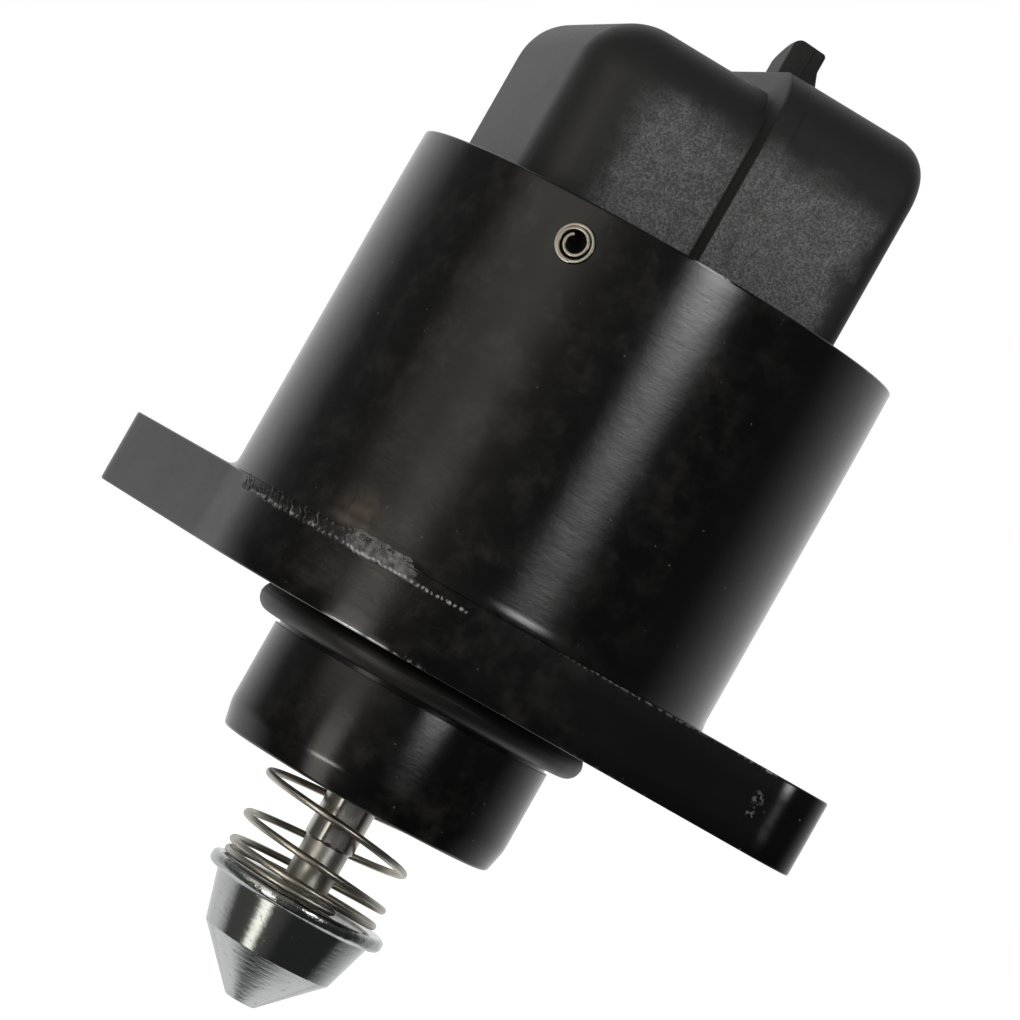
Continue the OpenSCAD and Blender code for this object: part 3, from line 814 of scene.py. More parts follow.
@dataclass
class Casting:
    """The painted casting: motor can, two-eared flange and nose in one piece.

    The nose and the can are turned in one and the flange is a slab round
    them, which reaches lap or more into the can's wall so that they join.
    Under the flange, a relief round the nose leaves room for its seal.
    """

    body_r: float = 17.15
    bore_r: float = 15.3
    rim_z: float = 29.8
    floor_z: float = 3.0
    flange_t: float = 5.1
    ear_reach: float = 25.9
    ear_r: float = 3.4
    bolt_spacing: float = 45.0
    bolt_hole_r: float = 2.75
    bolt_turn: float = math.radians(-45)
    nose_r: float = 10.0
    nose_z: float = -9.5
    nose_taper_z: float = -7.85
    nose_end_r: float = 9.63
    nose_edge_r: float = 0.3
    nose_taper_r: float = 3.2
    recess_edge_r: float = 0.12
    relief_r: float = 12.15
    relief_z: float = 0.1
    groove_z: float = -2.2
    groove_depth: float = 0.25
    groove_edge_r: float = 0.03
    flare: float = 0.1
    flare_h: float = 0.85
    flare_gap: float = 0.04
    rim_draft: float = 0.06
    rim_draft_h: float = 7.0
    recess_r: float = 6.2
    recess_z: float = -8.3
    bearing_r: float = 7.5
    bearing_z: float = -2.3
    collar_r: float = 5.5
    collar_z: float = -3.3
    guide_r: float = 4.5
    wall_in: float = 0.6
    lap: float = 1.1
    edge_r: float = 0.14
    chamfer: float = 0.2
    shelf_w: float = 2.4
    fillet_least: float = 0.12
    fillet_gain: float = 0.68
    sink: float = 0.5
    pin_z: float = 27.1
    pin_hole_r: float = 1.33
    pin_reach: tuple[float, float] = (12.0, 19.0)
    pin_turn: float = math.radians(-120)
    segments: int = 288

    def can_outline(self) -> np.ndarray:
        """Section of the can and the nose: radius and height round the wall.

        The can flares a little at its foot, where the casting mould parts,
        and draws in by a hair under its rim.

        Returns:
            The closed outline, radius and height.
        """
        edge = self.edge_r
        foot = self.flange_t + self.flare_gap
        flare = [
            (self.body_r + self.flare * share**2, foot + self.flare_h * (1 - share), 0)
            for share in np.linspace(1, 0, 9)
        ]
        start = self.rim_z - self.rim_draft_h
        draft = [
            (self.body_r - self.rim_draft * share**2, start + self.rim_draft_h * share, 0)
            for share in np.linspace(0, 0.9, 8)
        ]
        groove_r = self.nose_r - self.groove_depth
        return rounded_outline(
            [
                (self.recess_r, self.nose_z, self.recess_edge_r),
                (self.nose_end_r, self.nose_z, self.nose_edge_r),
                (self.nose_r, self.nose_taper_z, self.nose_taper_r),
                (self.nose_r, self.groove_z, self.groove_edge_r),
                (groove_r, self.groove_z, 0),
                (groove_r, self.relief_z, 0),
                (self.relief_r + 1.2, self.relief_z, 0),
                (self.relief_r + 1.6, 2.0, 0),
                (self.body_r - self.wall_in, 2.4, 0),
                (self.body_r - self.wall_in, self.flange_t - 0.25, 0),
                *flare,
                *draft,
                (self.body_r - self.rim_draft, self.rim_z, edge),
                (self.bore_r, self.rim_z, edge),
                (self.bore_r, self.floor_z, 0),
                (self.bearing_r, self.floor_z, 0),
                (self.bearing_r, self.bearing_z, 0),
                (self.collar_r, self.bearing_z, 0),
                (self.collar_r, self.collar_z, 0),
                (self.guide_r, self.collar_z, 0),
                (self.guide_r, self.recess_z, 0),
                (self.recess_r, self.recess_z, 0),
            ],
            6,
        )

    def flank_lean(self) -> float:
        """Angle from the line of the bolts to the normal of a flank."""
        return math.acos((self.body_r - self.ear_r) / self.ear_reach)

    def flange_arcs(self) -> tuple[np.ndarray, np.ndarray]:
        """Points and outward normals round the flange's outline.

        The outline is four arcs whose ends share their normals, so the
        straight flanks are what joins one arc's end to the next one's start.

        Returns:
            The points and the normals, with the bolts along X.
        """
        lean = self.flank_lean()
        waist = self.body_r + self.flare
        arcs = [
            (self.ear_reach, self.ear_r, -lean, lean, 40),
            (0.0, waist, lean, math.pi - lean, 90),
            (-self.ear_reach, self.ear_r, math.pi - lean, math.pi + lean, 40),
            (0.0, waist, math.pi + lean, FULL_TURN - lean, 90),
        ]
        points, normals = [], []
        flank = np.linspace(0, 1, 30, endpoint=False)[1:, None]
        for number, (middle, radius, first, last, steps) in enumerate(arcs):
            turn = np.linspace(first, last, steps)
            way = np.stack([np.cos(turn), np.sin(turn)], axis=1)
            arc = np.array([[middle, 0.0]]) + radius * way
            points.append(arc)
            normals.append(way)
            after = arcs[(number + 1) % 4]
            end_way = way[-1]
            end = np.array([after[0], 0.0]) + after[1] * end_way
            points.append(arc[-1] * (1 - flank) + end * flank)
            normals.append(np.repeat(end_way[None, :], len(flank), axis=0))
        return np.vstack(points), np.vstack(normals)

    def flange_slab(self) -> bpy.types.Object:
        """The flange as a ring: its outline carried up a rounded section.

        section holds how far in and how high each row of the outside lies,
        and inner the radius and the height of those inside the casting.

        Returns:
            The closed ring.
        """
        points, normals = self.flange_arcs()
        edge = self.edge_r
        quarter = np.linspace(0, QUARTER_TURN, 6)
        inset = edge * (1 - np.sin(quarter))
        rise = edge * (1 - np.cos(quarter))
        top = self.flange_t
        section = [(2.2, 0.0), (0.5, 0.0)]
        section += list(zip(inset, rise))
        section += [(0.0, share * top) for share in (0.25, 0.5, 0.75)]
        section += [(d, top - h) for d, h in zip(inset[::-1], rise[::-1])]
        section += [(0.5, top), (1.0, top)]
        grid = [np.column_stack([points - d * normals, np.full(len(points), z)]) for d, z in section]
        way = points / np.linalg.norm(points, axis=1, keepdims=True)
        inner = [
            (self.body_r - self.lap, top),
            (self.body_r - self.lap, 3.4),
            (self.relief_r + 1.8, 1.5),
            (self.relief_r, self.relief_z),
            (self.relief_r, 0.0),
        ]
        grid += [np.column_stack([way * r, np.full(len(points), z)]) for r, z in inner]
        rows = turned(*np.moveaxis(np.stack(grid), -1, 0), self.bolt_turn)
        return Surface.build("flange_slab", rows, wrap_rows=True, wrap_columns=True)

    def bolt_cutter(self, side: int) -> bpy.types.Object:
        """A drill for one bolt hole, with a small chamfer at both faces.

        Args:
            side: -1 or 1, along the line of the bolts.

        Returns:
            The drill.
        """
        wide = self.bolt_hole_r + self.chamfer + 1
        outline = np.array(
            [
                (0.0, -1.0),
                (wide, -1.0),
                (self.bolt_hole_r, self.chamfer),
                (self.bolt_hole_r, self.flange_t - self.chamfer),
                (wide, self.flange_t + 1),
                (0.0, self.flange_t + 1),
            ]
        )
        grid = revolve(outline, 64)
        reach = side * self.bolt_spacing / 2
        grid[..., 0] += reach * math.cos(self.bolt_turn)
        grid[..., 1] += reach * math.sin(self.bolt_turn)
        return Surface.build("bolt_cutter", grid, wrap_rows=True)

    def pin_cutter(self, turn: float) -> bpy.types.Object:
        """A drill for one coiled pin, along the radius at that angle.

        Args:
            turn: direction of the pin, seen from above.

        Returns:
            The drill.
        """
        near, far = self.pin_reach
        hole = self.pin_hole_r
        outline = np.array([(0.0, near), (hole, near), (hole, far), (0.0, far)])
        grid = revolve(outline, 48)
        placed = turned(grid[..., 2], grid[..., 1], self.pin_z - grid[..., 0], turn)
        return Surface.build("pin_cutter", placed, wrap_rows=True)

    def foot_fillet(self) -> bpy.types.Object:
        """Fillet on the far ear's shelf, which narrows to nothing at the arcs.

        Its radius at an angle grows with the shelf's width there, to 0.8 mm.
        The near ear has a sharp corner. The fillet's body sinks into the can
        and the flange.

        Returns:
            The closed ring.
        """
        steps = 720
        turn = np.linspace(0, FULL_TURN, steps, endpoint=False)
        lean = self.flank_lean()
        local = np.abs((turn - self.bolt_turn + QUARTER_TURN) % math.pi - QUARTER_TURN)
        to_flank = np.where(local < lean, self.body_r / np.cos(lean - local), self.body_r)
        shelf = np.clip(to_flank - self.body_r, 0, self.shelf_w) / self.shelf_w
        far = np.where(np.cos(turn - self.bolt_turn) < 0, 1.0, 0.1)
        radius = (self.fillet_least + self.fillet_gain * shelf * far)[:, None]
        around = np.linspace(0, QUARTER_TURN, 9)[None, :]
        inside = np.full((steps, 1), self.body_r - self.sink)
        below = np.full((steps, 1), self.flange_t - self.sink)
        across = self.body_r + radius * (1 - np.sin(around))
        up = self.flange_t + radius * (1 - np.cos(around))
        r = np.concatenate([across, inside, inside, self.body_r + radius], axis=1)
        z = np.concatenate([up, self.flange_t + radius, below, below], axis=1)
        grid = ring_points(r, turn[:, None], z)
        return Surface.build("foot_fillet", grid, wrap_rows=True, wrap_columns=True)

    def build(self, finish: bpy.types.Material) -> list[bpy.types.Object]:
        """Makes the casting and its trimmed flash, and dresses them.

        Args:
            finish: the paint.

        Returns:
            The pieces.
        """
        grid = revolve(self.can_outline(), self.segments)
        casting = Surface.build("casting", grid, wrap_rows=True, wrap_columns=True)
        Surface.combine(casting, self.flange_slab(), "UNION")
        Surface.combine(casting, self.foot_fillet(), "UNION")
        for side in (-1, 1):
            Surface.combine(casting, self.bolt_cutter(side), "DIFFERENCE")
            turn = self.pin_turn + (0 if side < 0 else math.pi)
            Surface.combine(casting, self.pin_cutter(turn), "DIFFERENCE")
        Surface.dress(casting, finish, 30)
        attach(casting, Body.HOUSING.value)
        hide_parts("housing")
        flash = CastingFlash(self.body_r, self.flange_t, self.flare).build(finish)
        return [casting, flash]


@dataclass
class CastingFlash:
    """Torn flash over the flange's upper edge, with a rolled burr below.

    Each span is a stretch round the can: its first and last angle and the
    length of its eased ends, in degrees. The flash is torn over the first
    one, smears upwards over the second, and its foot is rolled like a rope,
    broken into beads or a thin line over the other three. The ridges hold
    the wavelength, the weight and the phase of each wave. The band runs
    from foot_drop under the flange's upper face to head_rise over it, and
    the burr's middle lies burr_drop under that face.
    """

    body_r: float
    flange_t: float
    flare: float
    ends: tuple[float, float] = (math.radians(-173), math.radians(-101))
    torn: Triple = (-170, -128, 6)
    smear: Triple = (-131, -115, 7)
    rope: Triple = (-130, -117.5, 3)
    beads: Triple = (-118, -102, 2)
    line: Triple = (-167, -129, 3)
    ridges: tuple[Triple, ...] = ((0.62, 0.4, 0.0), (0.41, 0.35, 1.7), (0.27, 0.25, 4.1))
    foot_drop: float = 1.0
    head_rise: float = 0.1
    smear_rise: float = 0.5
    burr_drop: float = 0.74
    burr_half: float = 0.09
    twist_pitch: float = 0.4
    bead_pitch: float = 0.43
    sink: float = 0.4
    rows: int = 760
    columns: int = 76

    @staticmethod
    def span(turn: np.ndarray, first: float, last: float, ease: float) -> np.ndarray:
        """1 from one angle to another in degrees, with eased ends."""
        return eased(np.clip(np.minimum(turn - first, last - turn) / ease + 0.5, 0, 1))

    def along(self, cells: int, seed: int) -> np.ndarray:
        """Noise that changes along the band only."""
        return value_noise((self.rows, 1), (cells, 1), seed)

    def build(self, finish: bpy.types.Material) -> bpy.types.Object:
        """Makes a closed skin round a thin band and dresses it.

        Each point of the band is lifted off the can by slanting ridges where
        it is torn, by a lump where it smears and by the burr at its foot.
        Its edges sink into the can and the flange.

        Args:
            finish: the paint, which shows metal by the shares stored here.

        Returns:
            The band.
        """
        rows, columns = self.rows, self.columns
        turn = np.linspace(*self.ends, rows)[:, None]
        degrees = np.degrees(turn)
        share = np.linspace(0, 1, columns)[None, :]
        spans = (self.torn, self.smear, self.rope, self.beads, self.line)
        torn, smear, rope, beads, line = (self.span(degrees, *ends) for ends in spans)
        ragged = self.along(60, 3)
        low = self.flange_t - self.foot_drop + 0.04 * ragged
        high = self.flange_t + self.head_rise + 0.12 * torn + self.smear_rise * smear
        high += 0.08 * self.along(44, 4)
        height = low + (high - low) * share
        arc = turn * self.body_r
        slant = arc + 0.6 * height
        wander = value_noise((rows, columns), (30, 4), 5)
        ridges = sum(
            weight * np.sin(FULL_TURN * slant / wave + phase + 2.2 * wander)
            for wave, weight, phase in self.ridges
        )
        fine = value_noise((rows, columns), (300, 26), 7)
        coarse = value_noise((rows, columns), (70, 6), 8)
        crumbs = value_noise((rows, columns), (150, 5), 9)
        burr_z = self.flange_t - self.burr_drop + 0.06 * ragged + 0.05 * self.along(150, 10)
        burr = np.exp(-(((height - burr_z) / (self.burr_half + 0.03 * crumbs)) ** 2))
        strands = np.sin(FULL_TURN * (arc + 0.9 * height) / self.twist_pitch + wander)
        twist = np.clip(0.5 + 0.5 * strands + 0.3 * crumbs, 0, 1)
        beaded = np.sin(FULL_TURN * arc / self.bead_pitch + 3 * ragged)
        bead = np.clip(0.3 + 0.5 * beaded + 0.4 * crumbs, 0, 1)
        lift = torn * (0.03 + 0.055 * ridges + 0.03 * fine + 0.03 * coarse)
        lift -= smear * torn * 0.04 * ridges
        lift += smear * (0.07 + 0.02 * coarse + 0.015 * fine)
        rolled = rope * (0.06 + 0.09 * twist) + beads * 0.07 * bead
        lift += burr * (rolled + line * 0.03 * (1 + crumbs))
        fade = np.clip(np.minimum(share, 1 - share) * 9, 0, 1)
        under = self.body_r + self.flare * np.clip((self.flange_t + 0.25 - height) / 0.4, 0, 1)
        radius = under - 0.04 + fade * np.clip(0.03 + lift, -0.02 + 0.08 * smear, 1)
        inside = np.full((rows, 2), self.body_r - self.sink)
        r = np.concatenate([radius, inside], axis=1)
        z = np.concatenate([height, height[:, -1:], height[:, :1]], axis=1)
        band = Surface.build("casting_flash", ring_points(r, turn, z), wrap_columns=True, caps=True)
        Surface.dress(band, finish, 60)
        rubbed = rope * (0.2 + 0.8 * twist) + beads * bead * 0.6
        bare = burr * (rubbed + line * 0.4 * np.clip(0.3 + 1.2 * crumbs, 0, 1))
        crests = np.clip(ridges * 1.2 - 0.6, 0, 0.14) * np.clip(0.2 + 1.4 * coarse, 0, 1)
        lump = np.clip(0.16 + 0.12 * coarse + 0.06 * fine, 0, 1)
        bare += fade**3 * (torn * crests + smear * lump)
        rough = fade * np.maximum(torn, np.maximum(smear, rope))
        for name, values in (("bare", bare), ("torn", rough)):
            ring = np.concatenate([np.clip(values, 0, 1), np.zeros((rows, 2))], axis=1)
            Surface.set_share(band, name, ring.ravel())
        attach(band, Body.HOUSING.value)
        return band


@dataclass
class NoseSeal:
    """The O-ring under the flange, with the fine flash line of its mould."""

    segments: int = 256
    flash_line: float = 0.02

    def build(self, finish: bpy.types.Material) -> bpy.types.Object:
        """Turns the ring's round section, with a line in and out, about Z.

        Args:
            finish: its material.

        Returns:
            The ring.
        """
        low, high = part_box("nose_seal")
        section = (high.z - low.z) / MM
        middle_z = (high.z + low.z) / MM / 2
        middle_r = high.x / MM - section / 2
        around = np.linspace(0, FULL_TURN, 48, endpoint=False)
        line = self.flash_line * np.exp(-((np.abs(np.cos(around)) - 1) * 400) ** 2)
        radius = section / 2 + line
        places = [middle_r + radius * np.cos(around), middle_z + radius * np.sin(around)]
        outline = np.column_stack(places)
        seal = Surface.build("nose_o_ring", revolve(outline, self.segments), True, True)
        Surface.dress(seal, finish, 60)
        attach(seal, Body.HOUSING.value)
        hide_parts("nose_seal")
        return seal


@dataclass
class ReturnSpring:
    """The coil spring, wound to the left, with closed turns at its foot.

    rise holds pairs of turns from the foot and the share of the height that
    the wire's middle has reached there.
    """

    wire_d: float = 0.5
    foot_d: float = 10.95
    top_d: float = 11.35
    turns: float = 4.9
    start: float = math.radians(-72)
    recess_z: float = -8.3
    lean_x: float = -0.2
    window: int = 75
    rise: tuple[tuple[float, float], ...] = (
        (0.0, 0.0),
        (0.34, 0.008),
        (0.59, 0.01),
        (0.84, 0.022),
        (1.09, 0.087),
        (1.34, 0.097),
        (1.59, 0.1),
        (1.84, 0.17),
        (2.09, 0.302),
        (2.34, 0.338),
        (2.59, 0.361),
        (2.84, 0.519),
        (3.09, 0.685),
        (3.34, 0.714),
        (3.59, 0.758),
        (3.84, 0.89),
        (4.1, 0.94),
        (4.4, 0.96),
        (4.9, 1.0),
    )

    def height(self, turns: np.ndarray, low: float, high: float) -> np.ndarray:
        """Height of the wire's middle after each number of turns.

        The steps between the pairs of rise are eased by a running mean.

        Args:
            turns: numbers of turns from the foot.
            low: height of the lowest middle.
            high: height of the highest one.

        Returns:
            The heights.
        """
        knots = np.array(self.rise)
        fine = np.linspace(-0.4, self.turns + 0.4, 900)
        share = np.interp(fine, knots[:, 0], knots[:, 1])
        window = np.hanning(self.window)
        padded = np.pad(share, self.window // 2, mode="edge")
        smooth = np.convolve(padded, window / window.sum(), mode="valid")
        return low + (high - low) * np.interp(turns, fine, smooth)

    def build(self, finish: bpy.types.Material) -> bpy.types.Object:
        """Carries the wire's round section along the coil.

        Args:
            finish: its material.

        Returns:
            The spring.
        """
        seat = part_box("pintle")[1].z / MM
        low, high = seat + self.wire_d / 2, self.recess_z - self.wire_d / 2
        turns = np.linspace(0, self.turns, 620)[:, None]
        around = np.linspace(0, FULL_TURN, 20, endpoint=False)[None, :]
        width = np.minimum(1, np.minimum(turns, self.turns - turns) / 0.012 + 0.35)
        wire_r = self.wire_d / 2 * np.sqrt(width)
        widening = (self.top_d - self.foot_d) * turns / self.turns
        radius = (self.foot_d + widening - self.wire_d) / 2 + wire_r * np.cos(around)
        z = self.height(turns, low, high) + wire_r * np.sin(around)
        grid = ring_points(radius, self.start - FULL_TURN * turns, z)
        grid[..., 0] += self.lean_x
        spring = Surface.build("coil_spring", grid, wrap_columns=True, caps=True)
        Surface.dress(spring, finish, 50)
        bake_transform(spring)
        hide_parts("return_spring")
        return spring


@dataclass
class ValvePintle:
    """The turned and plated pintle on the shaft's end."""

    rim_r: float = 6.25
    rim_t: float = 0.95
    cone_top_r: float = 5.5
    cone_mid_r: float = 4.5
    tip_r: float = 1.05
    cone_top_h: float = 3.35
    cone_tip_h: float = 3.55
    rim_top_r: float = 0.36
    rim_low_r: float = 0.4
    tip_edge_r: float = 0.15
    edge_r: float = 0.12
    bore_r: float = 1.56
    bore_depth: float = 4.3

    def build(self, finish: bpy.types.Material) -> bpy.types.Object:
        """Revolves the pintle's section.

        Args:
            finish: its material.

        Returns:
            The pintle.
        """
        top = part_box("pintle")[1].z / MM
        rim = top - self.rim_t
        shoulder = rim - self.cone_top_h
        tip = shoulder - self.cone_tip_h
        outline = rounded_outline(
            [
                (0.0, top - self.bore_depth, 0),
                (self.bore_r, top - self.bore_depth, 0),
                (self.bore_r, top, 0.08),
                (self.rim_r, top, self.rim_top_r),
                (self.rim_r, rim, self.rim_low_r),
                (self.cone_top_r, rim, self.edge_r),
                (self.cone_mid_r, shoulder, self.edge_r),
                (self.tip_r, tip, self.tip_edge_r),
                (0.0, tip, 0),
            ],
            5,
        )
        piece = Surface.build("valve_pintle", revolve(outline, 192), wrap_rows=True)
        Surface.dress(piece, finish, 40)
        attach(piece, Body.PINTLE.value)
        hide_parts("pintle")
        return piece


@dataclass
class ScrewShaft:
    """The shaft: a threaded upper end, a guided part with flats and a step."""

    thread_r: float = 2.0
    shaft_r: float = 1.75
    flat: float = 1.55
    end_r: float = 1.55
    step_z: float = -13.0
    step_h: float = 0.12
    lead: float = 1.2
    starts: int = 2
    thread_depth: float = 0.3
    thread_len: float = 14.6
    run_in_h: float = 0.5
    tip_h: float = 0.36
    tip_in: float = 0.35

    def build(self, finish: bpy.types.Material) -> bpy.types.Object:
        """Makes the thread and the plain shaft as one closed skin.

        The radius at a height and an angle is the end's below the step, the
        guided part's with its two flats over it, and the thread's further up,
        where a tooth's flanks are a triangle wave of the angle less the
        height in leads.

        Args:
            finish: its material.

        Returns:
            The shaft.
        """
        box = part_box("lead_screw")
        bottom, top = box[0].z / MM, box[1].z / MM
        thread_z = top - self.thread_len
        at_step = self.step_z + np.array([-0.02, 0.0, 0.04, self.step_h])
        heights = np.concatenate(
            [
                np.array([bottom, bottom + 0.05]),
                np.linspace(bottom + 0.1, self.step_z - 0.06, 14),
                at_step,
                np.linspace(self.step_z + 0.2, thread_z - 0.3, 30),
                np.linspace(thread_z - 0.2, top - 0.4, 420),
                np.linspace(top - self.tip_h, top, 8),
            ]
        )[:, None]
        turn = np.linspace(0, FULL_TURN, 96, endpoint=False)[None, :]
        flatted = np.minimum(self.shaft_r, self.flat / np.maximum(np.abs(np.sin(turn)), 1e-6))
        step = np.clip((heights - self.step_z) / self.step_h, 0, 1)
        plain = self.end_r + (flatted - self.end_r) * step
        wave = (self.starts * turn - FULL_TURN * heights * self.starts / self.lead) % FULL_TURN
        tooth = np.abs(wave / math.pi - 1)
        cut = self.thread_depth * np.clip(1.5 - 2.4 * tooth, 0, 1)
        run_in = np.clip((heights - thread_z) / self.run_in_h, 0, 1)
        chamfer = np.clip((top - heights) / self.tip_h, 0, 1)
        threaded = self.thread_r - cut - self.tip_in * (1 - chamfer)
        radius = plain + (threaded - plain) * run_in
        grid = ring_points(radius, turn, heights)
        shaft = Surface.build("screw_shaft", grid, wrap_columns=True, caps=True)
        Surface.dress(shaft, finish, 35)
        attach(shaft, Body.PINTLE.value)
        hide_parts("lead_screw")
        return shaft


@dataclass
class CoiledPin:
    """A spring pin coiled from strip, pressed in along a radius."""

    radius: float = 1.3
    strip: float = 0.25
    gap: float = 0.1
    turns: float = 2.45
    outer_turns: float = 0.8
    ease_turns: float = 0.2
    slit: float = math.radians(12)
    length: float = 4.6
    out: float = 17.22
    height: float = 27.1

    def build(self, name: str, node: str, turn: float, finish: bpy.types.Material) -> bpy.types.Object:
        """Carries the strip's rounded section along a spiral.

        The outer turns are round. Before them the strip runs inwards by its
        thickness and the gap for each turn, and eases into the round.

        Args:
            name: the piece's name.
            node: the CAD node that it stands for.
            turn: direction of the pin, seen from above.
            finish: its material.

        Returns:
            The pin.
        """
        section = rounded_outline(
            [
                (0.0, 0.0, 0.05),
                (self.strip, 0.0, 0.05),
                (self.strip, self.length, 0.07),
                (0.0, self.length, 0.07),
            ],
            4,
        )
        share = np.linspace(0, self.turns, int(self.turns * 72))[:, None]
        before = np.clip(self.turns - self.outer_turns - share, 0, None)
        half = self.ease_turns / 2
        level = before**2 / (4 * half)
        inwards = np.where(before < self.ease_turns, level, before - half) / (1 - half)
        inner = self.radius - self.strip - (self.strip + self.gap) * inwards
        radius = inner + section[:, 0][None, :]
        angle = FULL_TURN * (share - self.turns) + self.slit
        up = self.height - radius * np.cos(angle)
        across = radius * np.sin(angle)
        along = self.out - self.length + section[:, 1][None, :] + 0 * share
        pin = Surface.build(name, turned(along, across, up, turn), wrap_columns=True, caps=True)
        Surface.dress(pin, finish, 40)
        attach(pin, Body.HOUSING.value)
        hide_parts(node)
        return pin


@dataclass
class SocketMoulding:
    """The black moulding: the plug in the can's mouth and the cable socket."""

    left: float = -12.4
    right: float = 10.15
    mouth: float = 12.0
    low_back: float = 9.8
    high_back: float = 11.0
    low_top: float = 42.1
    high_top: float = 43.8
    base_z: float = 29.2
    step_x: float = -0.62
    step_w: float = 0.27
    left_r: float = 4.3
    right_r: float = 2.25
    right_back_r: float = 1.4
    back_r: float = 4.0
    back_mid_z: float = 34.0
    lip: float = 0.25
    plug_z: float = 21.2
    plug_top: float = 29.6
    plug_r: float = 15.25
    plug_edge: float = 0.2
    bush_r: float = 3.6
    bush_top: float = 25.2
    rotor_r: float = 7.4
    rotor_top: float = 22.2
    groove_r: float = 13.9
    groove_low: float = 23.2
    groove_high: float = 24.8
    rim_top: float = 30.1
    wall: float = 1.4
    socket_end: float = 3.5
    floor_z: float = 31.4
    hook_x: float = 0.75
    hook_w: float = 2.25
    hook_back: float = -4.5
    hook_len: float = 3.3
    hook_top: float = 46.4
    hook_flare: float = 0.5
    hook_flare_h: float = 1.25
    hook_foot: float = 0.6
    hook_drop: float = 1.35

    @staticmethod
    def corner(distance: np.ndarray, radius: float) -> np.ndarray:
        """How far a corner of that radius pulls in, by distance from its end."""
        return radius * (1 - np.sqrt(1 - np.clip(1 - distance / radius, 0, 1) ** 2))

    def skin_grid(self) -> np.ndarray:
        """The socket's outside: its side view carried across its width.

        The side view at a place x is a rectangle from the mouth to the back,
        with a fillet along the back's upper edge. The back and the top move
        out by an eased step where the high part starts. Towards each end both
        move in along a quarter circle, which rounds the corners.

        Returns:
            The grid, closed round each row.
        """
        quarter = np.linspace(0, QUARTER_TURN, 20)
        across = np.concatenate(
            [
                self.left + self.left_r * (1 - np.cos(quarter)),
                np.linspace(self.left + self.left_r + 0.3, self.step_x - self.step_w, 12),
                self.step_x + self.step_w * np.linspace(-0.95, 0.95, 22),
                np.linspace(self.step_x + self.step_w, self.right - self.right_r - 0.2, 16),
                self.right - self.right_r * (1 - np.sin(quarter)),
            ]
        )
        share = np.clip((across - self.step_x) / self.step_w / 2 + 0.5, 0, 1)
        rise = share**3 * (share * (share * 6 - 15) + 10)
        back = self.low_back + (self.high_back - self.low_back) * rise
        top = self.low_top + (self.high_top - self.low_top) * rise
        in_left = self.corner(across - self.left, self.left_r)
        in_top = self.corner(self.right - across, self.right_r)
        in_back = self.corner(self.right - across, self.right_back_r)
        back = back - in_left - in_back
        top = top - in_left * 0.93 - in_top
        fillet = np.clip(self.back_r - in_left * 0.99 - in_top, 0.05, None)
        around = np.linspace(0, QUARTER_TURN, 18)[None, :]
        curve_y = -(back - fillet)[:, None] - fillet[:, None] * np.sin(around)
        curve_z = (top - fillet)[:, None] + fillet[:, None] * np.cos(around)
        small = self.lip * 0.3
        mouth_y = np.tile([self.mouth, self.mouth - small, self.mouth - self.lip], (len(across), 1))
        mouth_z = top[:, None] - np.array([[self.lip, small, 0.0]])
        back_y = np.stack([-back, -back, np.full(len(across), self.mouth)], axis=1)
        low_z = np.tile([self.back_mid_z, self.base_z, self.base_z], (len(across), 1))
        y = np.concatenate([mouth_y, curve_y, back_y], axis=1)
        z = np.concatenate([mouth_z, curve_z, low_z], axis=1)
        return np.stack([across[:, None] + 0 * y, y, z], axis=-1)

    def hollow(self, left: float, floor: float, top: float) -> bpy.types.Object:
        """A block with rounded long edges, open through the socket's mouth.

        Args:
            left: its left side.
            floor: height of its floor.
            top: height of the skin over it, which keeps the wall's thickness.

        Returns:
            The block.
        """
        right, high, edge = self.right - self.wall, top - self.wall, 1.0
        outline = rounded_outline(
            [(left, floor, edge), (right, floor, edge), (right, high, edge), (left, high, edge)], 5
        )
        rows = [np.insert(outline, 1, y, axis=1) for y in (self.socket_end, self.mouth + 1)]
        return Surface.build("hollow", np.stack(rows), wrap_columns=True, caps=True)

    def plug(self) -> bpy.types.Object:
        """The round plug with its seal's groove and its hollow for the rotor.

        Returns:
            The closed plug.
        """
        outline = np.array(
            [
                (0.0, self.bush_top),
                (self.bush_r, self.bush_top),
                (self.bush_r, self.rotor_top),
                (self.rotor_r, self.rotor_top),
                (self.rotor_r, self.plug_z),
                (self.plug_r, self.plug_z),
                (self.plug_r, self.groove_low),
                (self.groove_r, self.groove_low),
                (self.groove_r, self.groove_high),
                (self.plug_r, self.groove_high),
                (self.plug_r, self.plug_top - self.plug_edge),
                (self.plug_r - self.plug_edge, self.plug_top),
                (0.0, self.plug_top),
            ]
        )
        return Surface.build("plug", revolve(outline, 128), wrap_rows=True)

